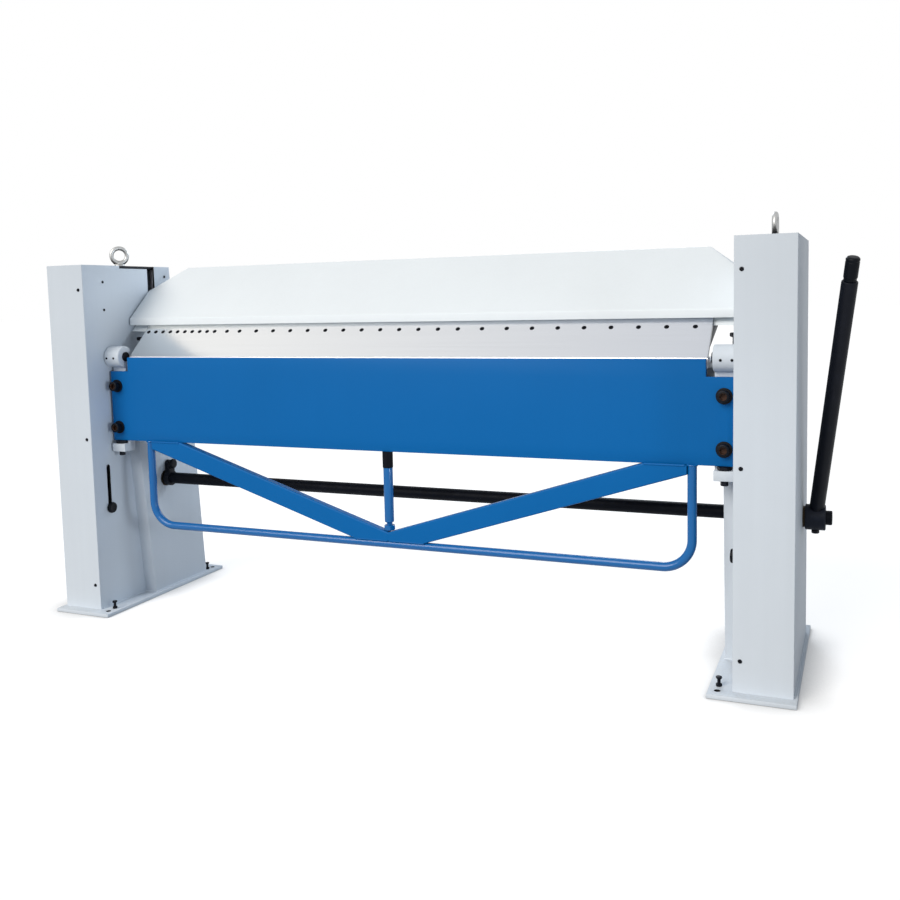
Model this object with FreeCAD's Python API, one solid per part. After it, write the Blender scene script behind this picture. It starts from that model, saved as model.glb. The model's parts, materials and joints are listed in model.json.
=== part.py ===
import FreeCAD, Part
import math
import os

# Manual swing-apron folding machine for sheet metal.
# X runs along the bend line, Y towards the back, Z up, in millimetres.
# While the pieces are drawn, Y counts from the front face of the column covers;
# when they are written, Y moves so that the origin is the middle of the inner anchor holes.

# Overall sizes
working_length = 2040.0
column_height = 1250.0
column_width = 160.0
axis_height = 920.0          # bend line above the floor
axis_back = 121.0            # bend line behind the front face of the covers

# Running fits and assembly gaps
running_gap = 0.05           # shaft in bush, pin in hub
apron_gap = 0.5              # apron's back in front of the bed
guide_gap = 0.1              # tongue between its gibs
rest_gap = 0.3               # blade above the bed

# Hexagon bolts and nuts, as multiples of the thread's diameter
hex_flats = 1.5
hex_head_height = 0.63
hex_nut_height = 0.8
hex_face = 0.96              # round face of a head, from its flats

# Base plates
base_thickness = 12.0
base_front = 40.0            # base plate in front of the covers
base_inner_margin = 15.0
base_outer_margin = 10.0
base_back_margin = 90.0
anchor_radius = 9.0
anchor_edge = 34.0           # anchor hole from the plate's front and back edges
anchor_side = 26.0           # anchor hole from the plate's side edges
level_bolt = 10.0
level_spacing = 34.0         # levelling bolt from its anchor hole
level_neck = 14.0            # thread showing between nut and head

# Columns
step_depth = 50.0            # lower rear part stands inwards by this
wall = 8.0
outer_wall_thickness = 5.0
back_thickness = 4.0
cover_sheet = 2.0
cover_flange = 18.0
cover_screw = 6.0
cover_screw_inset = 20.0
cover_screw_ends = 88.0      # screws from the cover's ends
cover_screw_head = 3.0
cover_screw_length = 14.0
nut_bar_width = 16.0
nut_bar_thickness = 8.0
nut_bar_height = 24.0
column_depth_top = 470.0
column_depth_bottom = 550.0
ledge_drop = 15.0            # ledge of the step below the bend line
hub_step_gap = 3.0           # hinge hub in front of the step, at the ledge
step_slope = 0.09            # backwards per height, going down
top_plate_thickness = 10.0
top_notch_front = 190.0
wall_screw_front = 100.0
wall_screw_drops = (60.0, 160.0)
wall_screw_rear = 30.0
wall_screw_rear_drop = 38.0
wall_screw_head = 2.5
wall_screw_head_radius = 5.0
wall_screw_radius = 2.5
eye_ring_outer = 36.0
eye_ring_wire = 8.0
eye_collar_radius = 19.0
eye_collar_height = 9.0
eye_neck_radius = 11.0
eye_shank_radius = 10.0
eye_shank_length = 30.0
eye_overlap = 3.0            # ring sunk into the collar
eye_back = 285.0
eye_turn_left = 49.0         # left ring turned about the upright axis, degrees

# Hinge and apron
hub_side_gap = 18.0          # hub inboard face from the blade's end
hub_length = 65.0
hub_wall_gap = 2.0
hub_radius = 38.0
hinge_pin_radius = 17.0
pin_flange_radius = 34.0
pin_flange_thickness = 10.0
pin_proud = 6.0              # pin's end stands out of the hub
hub_screw_radius = 4.0
hub_screw_proud = 1.0
hub_screw_length = 16.0
hub_screw_drop = 4.0         # below the bend line
hub_screw_places = (22.0, 53.0)
apron_thickness = 16.0
apron_drop = 2.0             # apron's top edge below the bend line
apron_height = 301.0
apron_end_gap = 9.0
apron_notch_depth = 50.0
apron_notch_end = 2.0        # notch starts inside the blade's end
arm_width = 56.0
arm_thickness = 29.0
arm_foot_thickness = 29.0
arm_foot_gap = 12.0          # between apron and foot
arm_foot_front = 10.0        # foot in front of the apron's face
arm_offset = 2.5             # arm's middle inboard of the hub's middle
arm_recess_gap = 1.0         # around the adjusting nut
apron_bolt_drop = (103.0, 253.0)
apron_bolt_head_radius = 17.0
apron_bolt_head = 22.0
apron_bolt = 20.0
apron_bolt_socket = 17.0     # across flats
apron_bolt_socket_depth = 11.0
apron_bolt_short = 2.0       # shank end inside the arm's back face
washer_radius = 23.0
washer_thickness = 4.0
adjusting_screw = 24.0
adjusting_nut_height = 11.0
adjusting_drive = 12.0       # hexagon on the screw's lower end
adjusting_drive_flats = 19.0
adjusting_neck = 3.0

# Handle under the apron
handle_tube_radius = 13.5
handle_wall = 3.0
handle_centre = 22.0
handle_side_gap = 63.0       # legs' middle inboard of the blade's ends
handle_bottom = 314.0
handle_bend = 85.0
brace_width = 65.0
brace_depth = 30.0
brace_wall = 3.0
brace_corner = 5.0
brace_top_inset = 32.0       # brace centre line from the leg's, at the apron's edge
brace_meet = 6.0             # where the centre lines meet, above the tube's centre
rod_centre = 14.0
rod_radius = 15.5
rod_thread_radius = 10.0
rod_nut_flats = 34.0
rod_nut_height = 16.0
rod_thread_show = 10.0
rod_socket_height = 52.0
rod_socket_wall = 1.5

# Upper beam and clamping blade
lip_rise = 110.0             # lip's lower edge above the bend line
lip_back = 104.0             # lip behind the bend line
lip_height = 25.0
beam_rise = 323.0            # top of the beam above the bend line
face_angle = 42.0            # sloping face from the horizontal
beam_top_width = 17.0
beam_floor_rise = 87.0
beam_wall = 8.0
beam_end_gap = 7.0
chamfer_length = 116.0
chamfer_height = 86.0
beam_bend = 6.0              # radius of the folded edges
blade_angle = 43.5
blade_setback = 1.0
blade_thickness = 14.0
seat_nose_rise = 25.0
seat_depth = 96.0
seat_heel = 7.0
blade_screw_span = 2040.0    # blade length that the places below are for
blade_screw_first = -1002.0
blade_screw_pitches = ((9, 32.5), (2, 53.0), (12, 69.3), (9, 82.7))
blade_screw_rise = 85.0
blade_screw_radius = 4.5
blade_screw_head_radius = 7.5
blade_screw_head = 5.0
blade_screw_proud = 1.0
blade_screw_length = 30.0

# Lift: tongues, pins, rods, cranks and shaft
lift_travel = 48.8
guide_back = 361.0
guide_width = 40.0
tongue_rise = 180.0          # bottom of the tongue above the bend line
tongue_height = 48.0
tongue_reach = 18.0          # beyond the wall
guide_run_out = 10.0         # slot and gibs below the tongue
gib_thickness = 20.0
gib_top_gap = 2.0            # gibs below the top plate
drive_pin_radius = 10.0
drive_pin_rise = 105.0
drive_pin_slot_gap = 2.0
drive_pin_end = 3.0          # pin beyond the pull rod
rod_plane = 23.0             # pull rod's inboard face behind the wall's inner face
rod_thickness = 20.0
rod_width = 30.0
rod_eye_radius = 24.0
crank_gap = 4.0
crank_radius = 60.0
crank_swing = 48.0
crank_thickness = 18.0
crank_pin_radius = 9.0
crank_pin_end = 2.0          # pin beyond the pull rod
crank_end_radius = 18.0
crank_hub_radius = 32.0
crank_hub_length = 32.0
open_eye_height_gap = 0.6
open_eye_end_gap = 1.0
shaft_radius = 21.0
shaft_back = 330.0
shaft_height = 440.0
shaft_end_proud = 5.0        # left end beyond the crank's hub
bush_radius = 27.0
bush_flange_radius = 31.0
bush_flange = 6.0
bush_length = 15.0
stop_hub_radius = 29.0
stop_arm_width = 30.0
stop_arm_length = 55.0
stop_arm_thickness = 22.0
stop_knob_radius = 19.0
stop_knob_length = 12.0
stop_gap = 3.0
lever_hub_radius = 37.5
lever_hub_length = 56.0
lever_hub_gap = 0.5          # from the outer bush
lever_stub = 18.0            # shaft end beyond the hub
lever_seat = 4.0             # bar's end outside the shaft, in the hub
lever_screw_flats = 19.0
lever_screw_height = 10.0
lever_radius = 21.0
lever_length = 799.0
lever_grip_length = 66.0
lever_grip_radius = 18.0
lever_forward = 20.0         # lean of the lever towards the front, degrees
lever_outward = 7.3          # lean of the lever away from the column, degrees

# Bed under the bend line
bed_strip_depth = 50.0
bed_plate_back = 420.0
bed_web_back = 195.0
bed_bottom = 640.0
bed_plate = 15.0
stop_bolt = 20.0
stop_bolt_back = 260.0
stop_bolt_inset = 25.0
stop_bolt_top = 985.0

# Slide knobs on the inner walls
knob_back = 76.0
knob_slot_width = 18.0
knob_slot_low = 352.0
knob_slot_high = 530.0
knob_height = 372.0
knob_radius = 20.0
knob_collar_radius = 14.0
knob_collar = 3.0
knob_length = 15.0
knob_edge = 2.5
knob_gap = 0.5               # stud in the slot, collar and slide off the wall
stud_length = 12.0           # in front of the wall
slide_width = 40.0
slide_height = 34.0
slide_thickness = 8.0

# Places worked out from the sizes above
half_length = working_length / 2
handle_half_span = half_length - handle_side_gap
step_back = hub_radius + hub_step_gap
inner_x = half_length + hub_side_gap + hub_length + hub_wall_gap
step_x = inner_x - step_depth
outer_x = inner_x + column_width
base_in = step_x - base_inner_margin
base_out = outer_x + base_outer_margin
base_back = column_depth_bottom + base_back_margin
anchor_front = -base_front + anchor_edge
anchor_rear = base_back - anchor_edge
origin_back = (anchor_front + anchor_rear) / 2
anchor_in = base_in + anchor_side
anchor_out = base_out - anchor_side
ledge_height = axis_height - ledge_drop
apron_top = axis_height - apron_drop
apron_bottom = apron_top - apron_height
apron_front = axis_back - apron_thickness
apron_mid = axis_back - apron_thickness / 2
arm_centre = half_length + hub_side_gap + hub_length / 2 - arm_offset
foot_top = apron_bottom - arm_foot_gap
foot_low = foot_top - arm_foot_thickness
beam_end_x = inner_x - beam_end_gap
beam_top = axis_height + beam_rise
lip_z = axis_height + lip_rise
floor_z = axis_height + beam_floor_rise
lip_y = axis_back + lip_back
crest_y = lip_y + (beam_top - lip_z - lip_height) / math.tan(math.radians(face_angle))
beam_back = crest_y + beam_top_width
blade_run = 1 / math.tan(math.radians(blade_angle))
blade_tip = axis_back + blade_setback
blade_low = axis_height + rest_gap
blade_flat = blade_thickness / math.sin(math.radians(blade_angle))
crank_rest = crank_swing / 2
crank_pin_y = shaft_back - crank_radius * math.cos(math.radians(crank_rest))
crank_pin_z = shaft_height - crank_radius * math.sin(math.radians(crank_rest))
eye_slack = crank_radius * (1 - math.cos(math.radians(crank_rest)))
drive_pin_y = crank_pin_y - eye_slack / 2
drive_pin_z = axis_height + drive_pin_rise
guide_front = guide_back - guide_width / 2
guide_rear = guide_back + guide_width / 2
guide_low = axis_height + tongue_rise - guide_run_out
column_centre = inner_x + column_width / 2
bed_top = ledge_height - bed_plate
rod_in = inner_x + wall + rod_plane
rod_out = rod_in + rod_thickness
crank_in = rod_out + crank_gap


def column_back(z):
    """Rear edge of the column at height z."""
    rise = (z - base_thickness) / (column_height - base_thickness)
    return column_depth_bottom + (column_depth_top - column_depth_bottom) * rise


def step_front(z):
    """Front of the step at height z."""
    return axis_back + step_back + (ledge_height - z) * step_slope


def box(x0, x1, y0, y1, z0, z1):
    return Part.makeBox(x1 - x0, y1 - y0, z1 - z0, FreeCAD.Vector(x0, y0, z0))


def cylinder(start, axis, radius, length):
    return Part.makeCylinder(radius, length, FreeCAD.Vector(*start), FreeCAD.Vector(*axis))


def prism_x(outline, x0, x1):
    """Outline of (y, z) points, extruded from x0 to x1."""
    points = [FreeCAD.Vector(x0, y, z) for y, z in outline]
    face = Part.Face(Part.makePolygon(points + points[:1]))
    return face.extrude(FreeCAD.Vector(x1 - x0, 0, 0))


def prism_y(outline, y0, y1):
    """Outline of (x, z) points, extruded from y0 to y1."""
    points = [FreeCAD.Vector(x, y0, z) for x, z in outline]
    face = Part.Face(Part.makePolygon(points + points[:1]))
    return face.extrude(FreeCAD.Vector(0, y1 - y0, 0))


def turned(start, axis, radius, length, edge=1.0):
    """Round bar whose two rims are chamfered by edge."""
    points = [(0, 0), (radius - edge, 0), (radius, edge), (radius, length - edge), (radius - edge, length),
              (0, length)]
    corners = [FreeCAD.Vector(x, 0, z) for x, z in points]
    face = Part.Face(Part.makePolygon(corners + corners[:1]))
    return placed(face.revolve(FreeCAD.Vector(0, 0, 0), FreeCAD.Vector(0, 0, 1), 360), start, axis)


def placed(solid, start, axis):
    """Move a solid drawn upwards from the origin to start, along axis."""
    turn = FreeCAD.Rotation(FreeCAD.Vector(0, 0, 1), FreeCAD.Vector(*axis))
    solid.Placement = FreeCAD.Placement(FreeCAD.Vector(*start), turn)
    return solid


def hex_head(start, axis, flats, height):
    """Hexagon bolt head or nut with its corners turned off at both ends."""
    corner, face = flats / math.sqrt(3), flats / 2 * hex_face
    return hexagon(start, axis, flats, height).common(turned(start, axis, corner, height, corner - face))


def hexagon(start, axis, flats, height):
    """Hexagonal prism with its base centre at start."""
    radius = flats / math.sqrt(3)
    corners = [math.radians(60 * i) for i in range(6)]
    points = [FreeCAD.Vector(radius * math.cos(a), radius * math.sin(a), 0) for a in corners]
    solid = Part.Face(Part.makePolygon(points + points[:1])).extrude(FreeCAD.Vector(0, 0, height))
    return placed(solid, start, axis)


def rounded_along_x(shape, corners, radius):
    """Round the edges that run along X through the given (y, z) corners."""
    edges = []
    for edge in shape.Edges:
        ends = [vertex.Point for vertex in edge.Vertexes]
        level = all(abs(p.y - ends[0].y) + abs(p.z - ends[0].z) < 0.01 for p in ends)
        if level and any(abs(ends[0].y - y) + abs(ends[0].z - z) < 0.01 for y, z in corners):
            edges.append(edge)
    return shape.makeFillet(radius, edges)


def joined(*shapes):
    """One solid from shapes that touch or overlap."""
    shape = shapes[0].fuse(list(shapes[1:])).removeSplitter()
    return shape.Solids[0] if len(shape.Solids) == 1 else shape


def mirrored(shape):
    """Mirror image for the other end of the machine."""
    return shape.mirror(FreeCAD.Vector(0, 0, 0), FreeCAD.Vector(1, 0, 0))


def write(name, *shapes):
    """Write one node, moved so that Y counts from the anchor holes' middle."""
    solids = [solid for shape in shapes for solid in shape.Solids]
    node = solids[0] if len(solids) == 1 else Part.makeCompound(solids)
    node = node.translated(FreeCAD.Vector(0, -origin_back, 0))
    if not node.isValid():
        raise ValueError(name + " is not a valid shape")
    node.exportStep("parts/" + name + ".step")


def write_pair(name, right):
    """Write a right-hand piece and its mirror image as two nodes."""
    write(name + "_right", right)
    write(name + "_left", mirrored(right))


def write_both(name, right):
    """Write right-hand pieces and their mirror images as one node."""
    write(name, *right, *[mirrored(piece) for piece in right])


def base_plate():
    plate = box(base_in, base_out, -base_front, base_back, 0, base_thickness)
    for x, y in ((anchor_in, anchor_front), (anchor_in, anchor_rear), (anchor_out, anchor_rear)):
        plate = plate.cut(cylinder((x, y, -1), (0, 0, 1), anchor_radius, base_thickness + 2))
    for x, y in level_places():
        plate = plate.cut(cylinder((x, y, -1), (0, 0, 1), level_bolt / 2, base_thickness + 2))
    return plate


def level_places():
    """Levelling bolts of the right-hand base plate."""
    return ((anchor_in, anchor_front + level_spacing), (anchor_in, anchor_rear - level_spacing),
            (anchor_out, anchor_rear - level_spacing))


def level_bolts():
    """Hexagon bolts whose ends stand level with the plate's underside."""
    flats, head, nut = level_bolt * hex_flats, level_bolt * hex_head_height, level_bolt * hex_nut_height
    bolts, nuts = [], []
    for x, y in level_places():
        neck = base_thickness + nut + level_neck
        shank = cylinder((x, y, 0), (0, 0, 1), level_bolt / 2, neck)
        bolts.append(joined(shank, hex_head((x, y, neck), (0, 0, 1), flats, head)))
        nuts.append(hex_head((x, y, base_thickness), (0, 0, 1), flats, nut).cut(shank))
    return bolts, nuts


def inner_wall():
    """Full-height inner plate, with the beam's guide slot, pin slot and knob slot."""
    front = cover_sheet
    outline = [(front, base_thickness), (step_front(base_thickness), base_thickness),
               (step_front(ledge_height), ledge_height), (column_back(ledge_height), ledge_height),
               (column_back(column_height), column_height), (front, column_height)]
    plate = prism_x(outline, inner_x, inner_x + wall)
    x0, x1 = inner_x - 1, inner_x + wall + 1
    plate = plate.cut(box(x0, x1, guide_front, guide_rear, guide_low, column_height + 1))
    notch_low = column_height - top_plate_thickness
    plate = plate.cut(box(x0, x1, top_notch_front, guide_front + 1, notch_low, column_height + 1))
    half = drive_pin_radius + drive_pin_slot_gap
    for z in (drive_pin_z, drive_pin_z + lift_travel):
        plate = plate.cut(cylinder((x0, drive_pin_y, z), (1, 0, 0), half, wall + 2))
    plate = plate.cut(box(x0, x1, drive_pin_y - half, drive_pin_y + half, drive_pin_z,
                          drive_pin_z + lift_travel))
    half = knob_slot_width / 2
    low, high = knob_slot_low + half, knob_slot_high - half
    for z in (low, high):
        plate = plate.cut(cylinder((x0, knob_back, z), (1, 0, 0), half, wall + 2))
    plate = plate.cut(box(x0, x1, knob_back - half, knob_back + half, low, high))
    for screw in wall_screws():
        plate = plate.cut(screw)
    return plate.cut(cylinder((x0, axis_back, axis_height), (1, 0, 0), hinge_pin_radius, wall + 2))


def step_box():
    """Slanted lower rear part that stands inwards: step face, inner face and ledge."""
    low, high = base_thickness, ledge_height
    outline = [(step_front(low), low), (column_back(low), low),
               (column_back(high), high), (step_front(high), high)]
    solid = prism_x(outline, step_x, inner_x + wall)
    lean = wall * math.hypot(1, step_slope)
    top = high - wall
    hollow = [(step_front(low - 1) + lean, low - 1), (column_back(low - 1) + 1, low - 1),
              (column_back(top) + 1, top), (step_front(top) + lean, top)]
    solid = solid.cut(prism_x(hollow, step_x + wall, inner_x + wall + 1))
    bush = cylinder((step_x - 1, shaft_back, shaft_height), (1, 0, 0), bush_radius, wall + 2)
    return solid.cut(bush)


def outer_wall(shaft_hole):
    front = cover_sheet
    outline = [(front, base_thickness), (column_back(base_thickness), base_thickness),
               (column_back(column_height), column_height), (front, column_height)]
    plate = prism_x(outline, outer_x - outer_wall_thickness, outer_x)
    if shaft_hole:
        start = (outer_x - outer_wall_thickness - 1, shaft_back, shaft_height)
        plate = plate.cut(cylinder(start, (1, 0, 0), bush_radius, outer_wall_thickness + 2))
    return plate


def back_cover():
    """Slanted rear sheet between the walls."""
    low, high = base_thickness, column_height
    outline = [(column_back(low) - back_thickness, low), (column_back(low), low),
               (column_back(high), high), (column_back(high) - back_thickness, high)]
    sheet = prism_x(outline, step_x + wall, outer_x - outer_wall_thickness)
    above = box(step_x, inner_x + wall, 0, base_back, ledge_height - wall, column_height + 1)
    return sheet.cut(above)


def front_cover():
    """Front sheet with a flange folded back inside each wall, and its screw holes."""
    low, high = base_thickness, column_height
    inside, outside = inner_x + wall, outer_x - outer_wall_thickness
    face = box(inner_x, outer_x, 0, cover_sheet, low, high)
    flanges = [box(inside, inside + cover_sheet, cover_sheet, cover_flange, low, high),
               box(outside - cover_sheet, outside, cover_sheet, cover_flange, low, high)]
    cover = joined(face, *flanges)
    for x, z in cover_screw_places():
        cover = cover.cut(cylinder((x, -1, z), (0, 1, 0), cover_screw / 2, cover_sheet + 2))
    return cover


def cover_screw_places():
    low, high = base_thickness + cover_screw_ends, column_height - cover_screw_ends
    return [(inner_x + cover_screw_inset, z) for z in (low, (low + high) / 2, high)]


def cover_screws():
    """Button-head screws, each in a nut bar behind the cover."""
    screws = []
    for x, z in cover_screw_places():
        head = turned((x, -cover_screw_head, z), (0, 1, 0), cover_screw, cover_screw_head)
        shank = cylinder((x, 0, z), (0, 1, 0), cover_screw / 2, cover_screw_length)
        half_w, half_h = nut_bar_width / 2, nut_bar_height / 2
        back = cover_sheet + nut_bar_thickness
        bar = box(x - half_w, x + half_w, cover_sheet, back, z - half_h, z + half_h)
        screws.append(joined(head, shank, bar))
    return screws


def top_plate():
    """Dark plate on top of the column; its edge shows in the inner wall's notch."""
    low = column_height - top_plate_thickness
    front, back = cover_flange + 1, column_back(column_height) - back_thickness - 1
    plate = box(inner_x + wall, outer_x - outer_wall_thickness, front, back, low, column_height)
    tab = box(inner_x, inner_x + wall, top_notch_front, guide_front, low, column_height)
    plate = joined(plate, tab)
    start = (column_centre, eye_back, low - 1)
    return plate.cut(cylinder(start, (0, 0, 1), eye_shank_radius, top_plate_thickness + 2))


def eye_bolt(turn):
    """Lifting eye of the right-hand column, its ring turned about the upright axis."""
    x, z = column_centre, column_height
    collar = turned((x, eye_back, z), (0, 0, 1), eye_collar_radius, eye_collar_height, 2)
    neck = cylinder((x, eye_back, z), (0, 0, 1), eye_neck_radius, eye_collar_height + eye_ring_wire)
    shank = cylinder((x, eye_back, z - eye_shank_length), (0, 0, 1), eye_shank_radius, eye_shank_length)
    ring_z = z + eye_collar_height + eye_ring_outer - eye_overlap
    ring = Part.makeTorus(eye_ring_outer - eye_ring_wire, eye_ring_wire,
                          FreeCAD.Vector(x, eye_back, ring_z), FreeCAD.Vector(1, 0, 0))
    bolt = joined(collar, neck, shank, ring)
    bolt.rotate(FreeCAD.Vector(x, eye_back, 0), FreeCAD.Vector(0, 0, 1), turn)
    return bolt


def wall_screws():
    """Small screws of the inner wall, near the top."""
    places = [(wall_screw_front, column_height - drop) for drop in wall_screw_drops]
    places.append((column_back(column_height) - wall_screw_rear, column_height - wall_screw_rear_drop))
    x, head = inner_x, wall_screw_head
    return [joined(turned((x - head, y, z), (1, 0, 0), wall_screw_head_radius, head, 0.8),
                   cylinder((x, y, z), (1, 0, 0), wall_screw_radius, wall)) for y, z in places]


def gibs():
    """Two bars behind each wall that guide the tongue."""
    high = column_height - top_plate_thickness - gib_top_gap
    x0, x1 = inner_x + wall, inner_x + wall + gib_thickness
    return [box(x0, x1, guide_front - gib_thickness, guide_front, guide_low, high),
            box(x0, x1, guide_rear, guide_rear + gib_thickness, guide_low, high)]


def bush(start_x, inwards):
    """Flanged bush for the shaft; the flange lies against the wall at start_x."""
    axis = (inwards, 0, 0)
    start = (start_x, shaft_back, shaft_height)
    body = cylinder(start, (-inwards, 0, 0), bush_radius, bush_length)
    flange = cylinder(start, axis, bush_flange_radius, bush_flange)
    bore_start = (start_x + inwards * (bush_flange + 1), shaft_back, shaft_height)
    bore = cylinder(bore_start, (-inwards, 0, 0), shaft_radius + running_gap, bush_length + bush_flange + 2)
    return joined(body, flange).cut(bore)


def hinge_pin():
    """Pin fixed in the inner wall, with a flange behind it."""
    start = half_length + hub_side_gap - pin_proud
    end = inner_x + wall
    pin = cylinder((start, axis_back, axis_height), (1, 0, 0), hinge_pin_radius, end - start)
    flange = cylinder((end, axis_back, axis_height), (1, 0, 0), pin_flange_radius, pin_flange_thickness)
    return joined(pin, flange)


def beam_stop():
    """Stop screw with its lock nut, standing on the ledge under the beam's end."""
    x, y, low = inner_x - stop_bolt_inset, stop_bolt_back, ledge_height
    flats, head = stop_bolt * hex_flats, stop_bolt * hex_head_height
    shank = cylinder((x, y, low), (0, 0, 1), stop_bolt / 2, stop_bolt_top - head - low)
    cap = hex_head((x, y, stop_bolt_top - head), (0, 0, 1), flats, head)
    nut = hex_head((x, y, low), (0, 0, 1), flats, stop_bolt * hex_nut_height)
    return joined(shank, cap, nut)


def bed():
    """Lower beam: hardened strip, top plate, front web, and rear web with bottom plate."""
    front, back = axis_back + apron_gap, bed_plate_back
    shoulder = front + step_back + 1
    strip = box(-half_length, half_length, front, front + bed_strip_depth, ledge_height, axis_height)
    plate = box(-step_x, step_x, shoulder, back, bed_top, ledge_height)
    nose = box(-half_length, half_length, front, shoulder, bed_top, ledge_height)
    web = box(-step_x, step_x, bed_web_back, bed_web_back + bed_plate, bed_bottom + bed_plate, bed_top)
    rear = box(-step_x, step_x, back - bed_plate, back, bed_bottom + bed_plate, bed_top)
    bottom = box(-step_x, step_x, bed_web_back, back, bed_bottom, bed_bottom + bed_plate)
    return strip, joined(plate, nose), web, joined(rear, bottom)


def beam_outline():
    """Beam section: lip, sloping face, crest, back and floor."""
    seat_z = lip_z - floor_z
    return [(lip_y, lip_z), (lip_y, lip_z + lip_height), (crest_y, beam_top), (beam_back, beam_top),
            (beam_back, floor_z), (blade_back(lip_z) - seat_z * blade_run, floor_z),
            (blade_back(lip_z), lip_z)]


def blade_back(z):
    """Back of the blade at height z."""
    return blade_tip + blade_flat + (z - blade_low) * blade_run


def beam_shell():
    """Closed, welded, hollow beam whose upper corners are cut off."""
    shell = prism_x(beam_outline(), -beam_end_x, beam_end_x)
    folds = [(lip_y, lip_z + lip_height), (crest_y, beam_top), (beam_back, beam_top), (beam_back, floor_z)]
    shell = rounded_along_x(shell, folds, beam_bend)
    cavity = prism_x(beam_hollow(), -beam_end_x + beam_wall, beam_end_x - beam_wall)
    drop = beam_wall * math.hypot(chamfer_length, chamfer_height) / chamfer_length
    for side in (-1, 1):
        x0, x1 = side * (beam_end_x - chamfer_length), side * (beam_end_x + 1)
        low = beam_top - chamfer_height - chamfer_height / chamfer_length
        corner = [(x0, beam_top), (x1, low), (x1, beam_top + 1), (x0, beam_top + 1)]
        shell = shell.cut(prism_y(corner, lip_y - 1, beam_back + 1))
        x2 = x0 - side * drop
        within = [(x0, beam_top - drop), (x1, low - drop), (x1, beam_top), (x2, beam_top),
                  (x2, beam_top - drop)]
        cavity = cavity.cut(prism_y(within, lip_y - 1, beam_back + 1))
    return shell.cut(cavity)


def beam_hollow():
    """Section of the space inside the beam, one wall thickness in from every face."""
    angle = math.radians(face_angle)
    front = blade_back(lip_z) + beam_wall
    face_shift = beam_wall / math.sin(angle)
    front_high = lip_z + lip_height + (front - lip_y - face_shift) * math.tan(angle)
    crest = crest_y + face_shift - beam_wall / math.tan(angle)
    low, high, back = floor_z + beam_wall, beam_top - beam_wall, beam_back - beam_wall
    return [(front, low), (front, front_high), (crest, high), (back, high), (back, low)]


def blade_seat():
    """Wedge-shaped bar behind the blade, welded under the beam's floor."""
    nose = axis_height + seat_nose_rise
    top_front = blade_back(floor_z)
    outline = [(blade_back(nose), nose), (top_front, floor_z), (top_front + seat_depth, floor_z),
               (top_front + seat_depth, floor_z - seat_heel)]
    return prism_x(outline, -half_length, half_length)


def screw_places():
    """X of each blade screw; the pitch widens from the left end."""
    places = [blade_screw_first]
    for count, pitch in blade_screw_pitches:
        for _ in range(count):
            places.append(places[-1] + pitch)
    return [x * working_length / blade_screw_span for x in places]


def blade_and_screws():
    """Sloping clamping blade and the row of flat-head screws in it."""
    top = lip_z
    outline = [(blade_tip, blade_low), (blade_tip + blade_flat, blade_low), (blade_back(top), top),
               (blade_back(top) - blade_flat, top)]
    blade = prism_x(outline, -half_length, half_length)
    face_z = axis_height + blade_screw_rise
    face_y = blade_tip + (face_z - blade_low) * blade_run
    angle = math.radians(blade_angle)
    axis = (0, math.sin(angle), -math.cos(angle))
    screws = []
    for x in screw_places():
        start = (x, face_y - axis[1] * blade_screw_proud, face_z - axis[2] * blade_screw_proud)
        head = cylinder(start, axis, blade_screw_head_radius, blade_screw_head)
        shank = cylinder(start, axis, blade_screw_radius, blade_screw_length)
        screws.append(joined(head, shank))
    holes = Part.makeCompound(screws)
    return blade.cut(holes), screws, holes


def tongue():
    """Guide block on the beam's end that runs between the gibs."""
    half = guide_width / 2 - guide_gap
    low = axis_height + tongue_rise
    front, back = guide_back - half, guide_back + half
    return box(beam_end_x, inner_x + wall + tongue_reach, front, back, low, low + tongue_height)


def drive_pin():
    return cylinder((beam_end_x, drive_pin_y, drive_pin_z), (1, 0, 0), drive_pin_radius,
                    rod_out + drive_pin_end - beam_end_x)


def pull_rod():
    """Flat rod that hangs on the drive pin; its lower eye is long enough for the crank's swing."""
    half = rod_width / 2
    bar = box(rod_in, rod_out, drive_pin_y - half, drive_pin_y + half, crank_pin_z, drive_pin_z)
    top = cylinder((rod_in, drive_pin_y, drive_pin_z), (1, 0, 0), rod_eye_radius, rod_thickness)
    spread = eye_slack / 2 + open_eye_end_gap
    ends = (drive_pin_y - spread, drive_pin_y + spread)
    eyes = [cylinder((rod_in, y, crank_pin_z), (1, 0, 0), rod_eye_radius, rod_thickness) for y in ends]
    low_z, high_z = crank_pin_z - rod_eye_radius, crank_pin_z + rod_eye_radius
    middle = box(rod_in, rod_out, ends[0], ends[1], low_z, high_z)
    rod = joined(bar, top, middle, *eyes)
    radius = crank_pin_radius + open_eye_height_gap
    for y in ends:
        rod = rod.cut(cylinder((rod_in - 1, y, crank_pin_z), (1, 0, 0), radius, rod_thickness + 2))
    rod = rod.cut(box(rod_in - 1, rod_out + 1, ends[0], ends[1], crank_pin_z - radius, crank_pin_z + radius))
    upper = cylinder((rod_in - 1, drive_pin_y, drive_pin_z), (1, 0, 0), drive_pin_radius, rod_thickness + 2)
    return rod.cut(upper)


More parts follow.
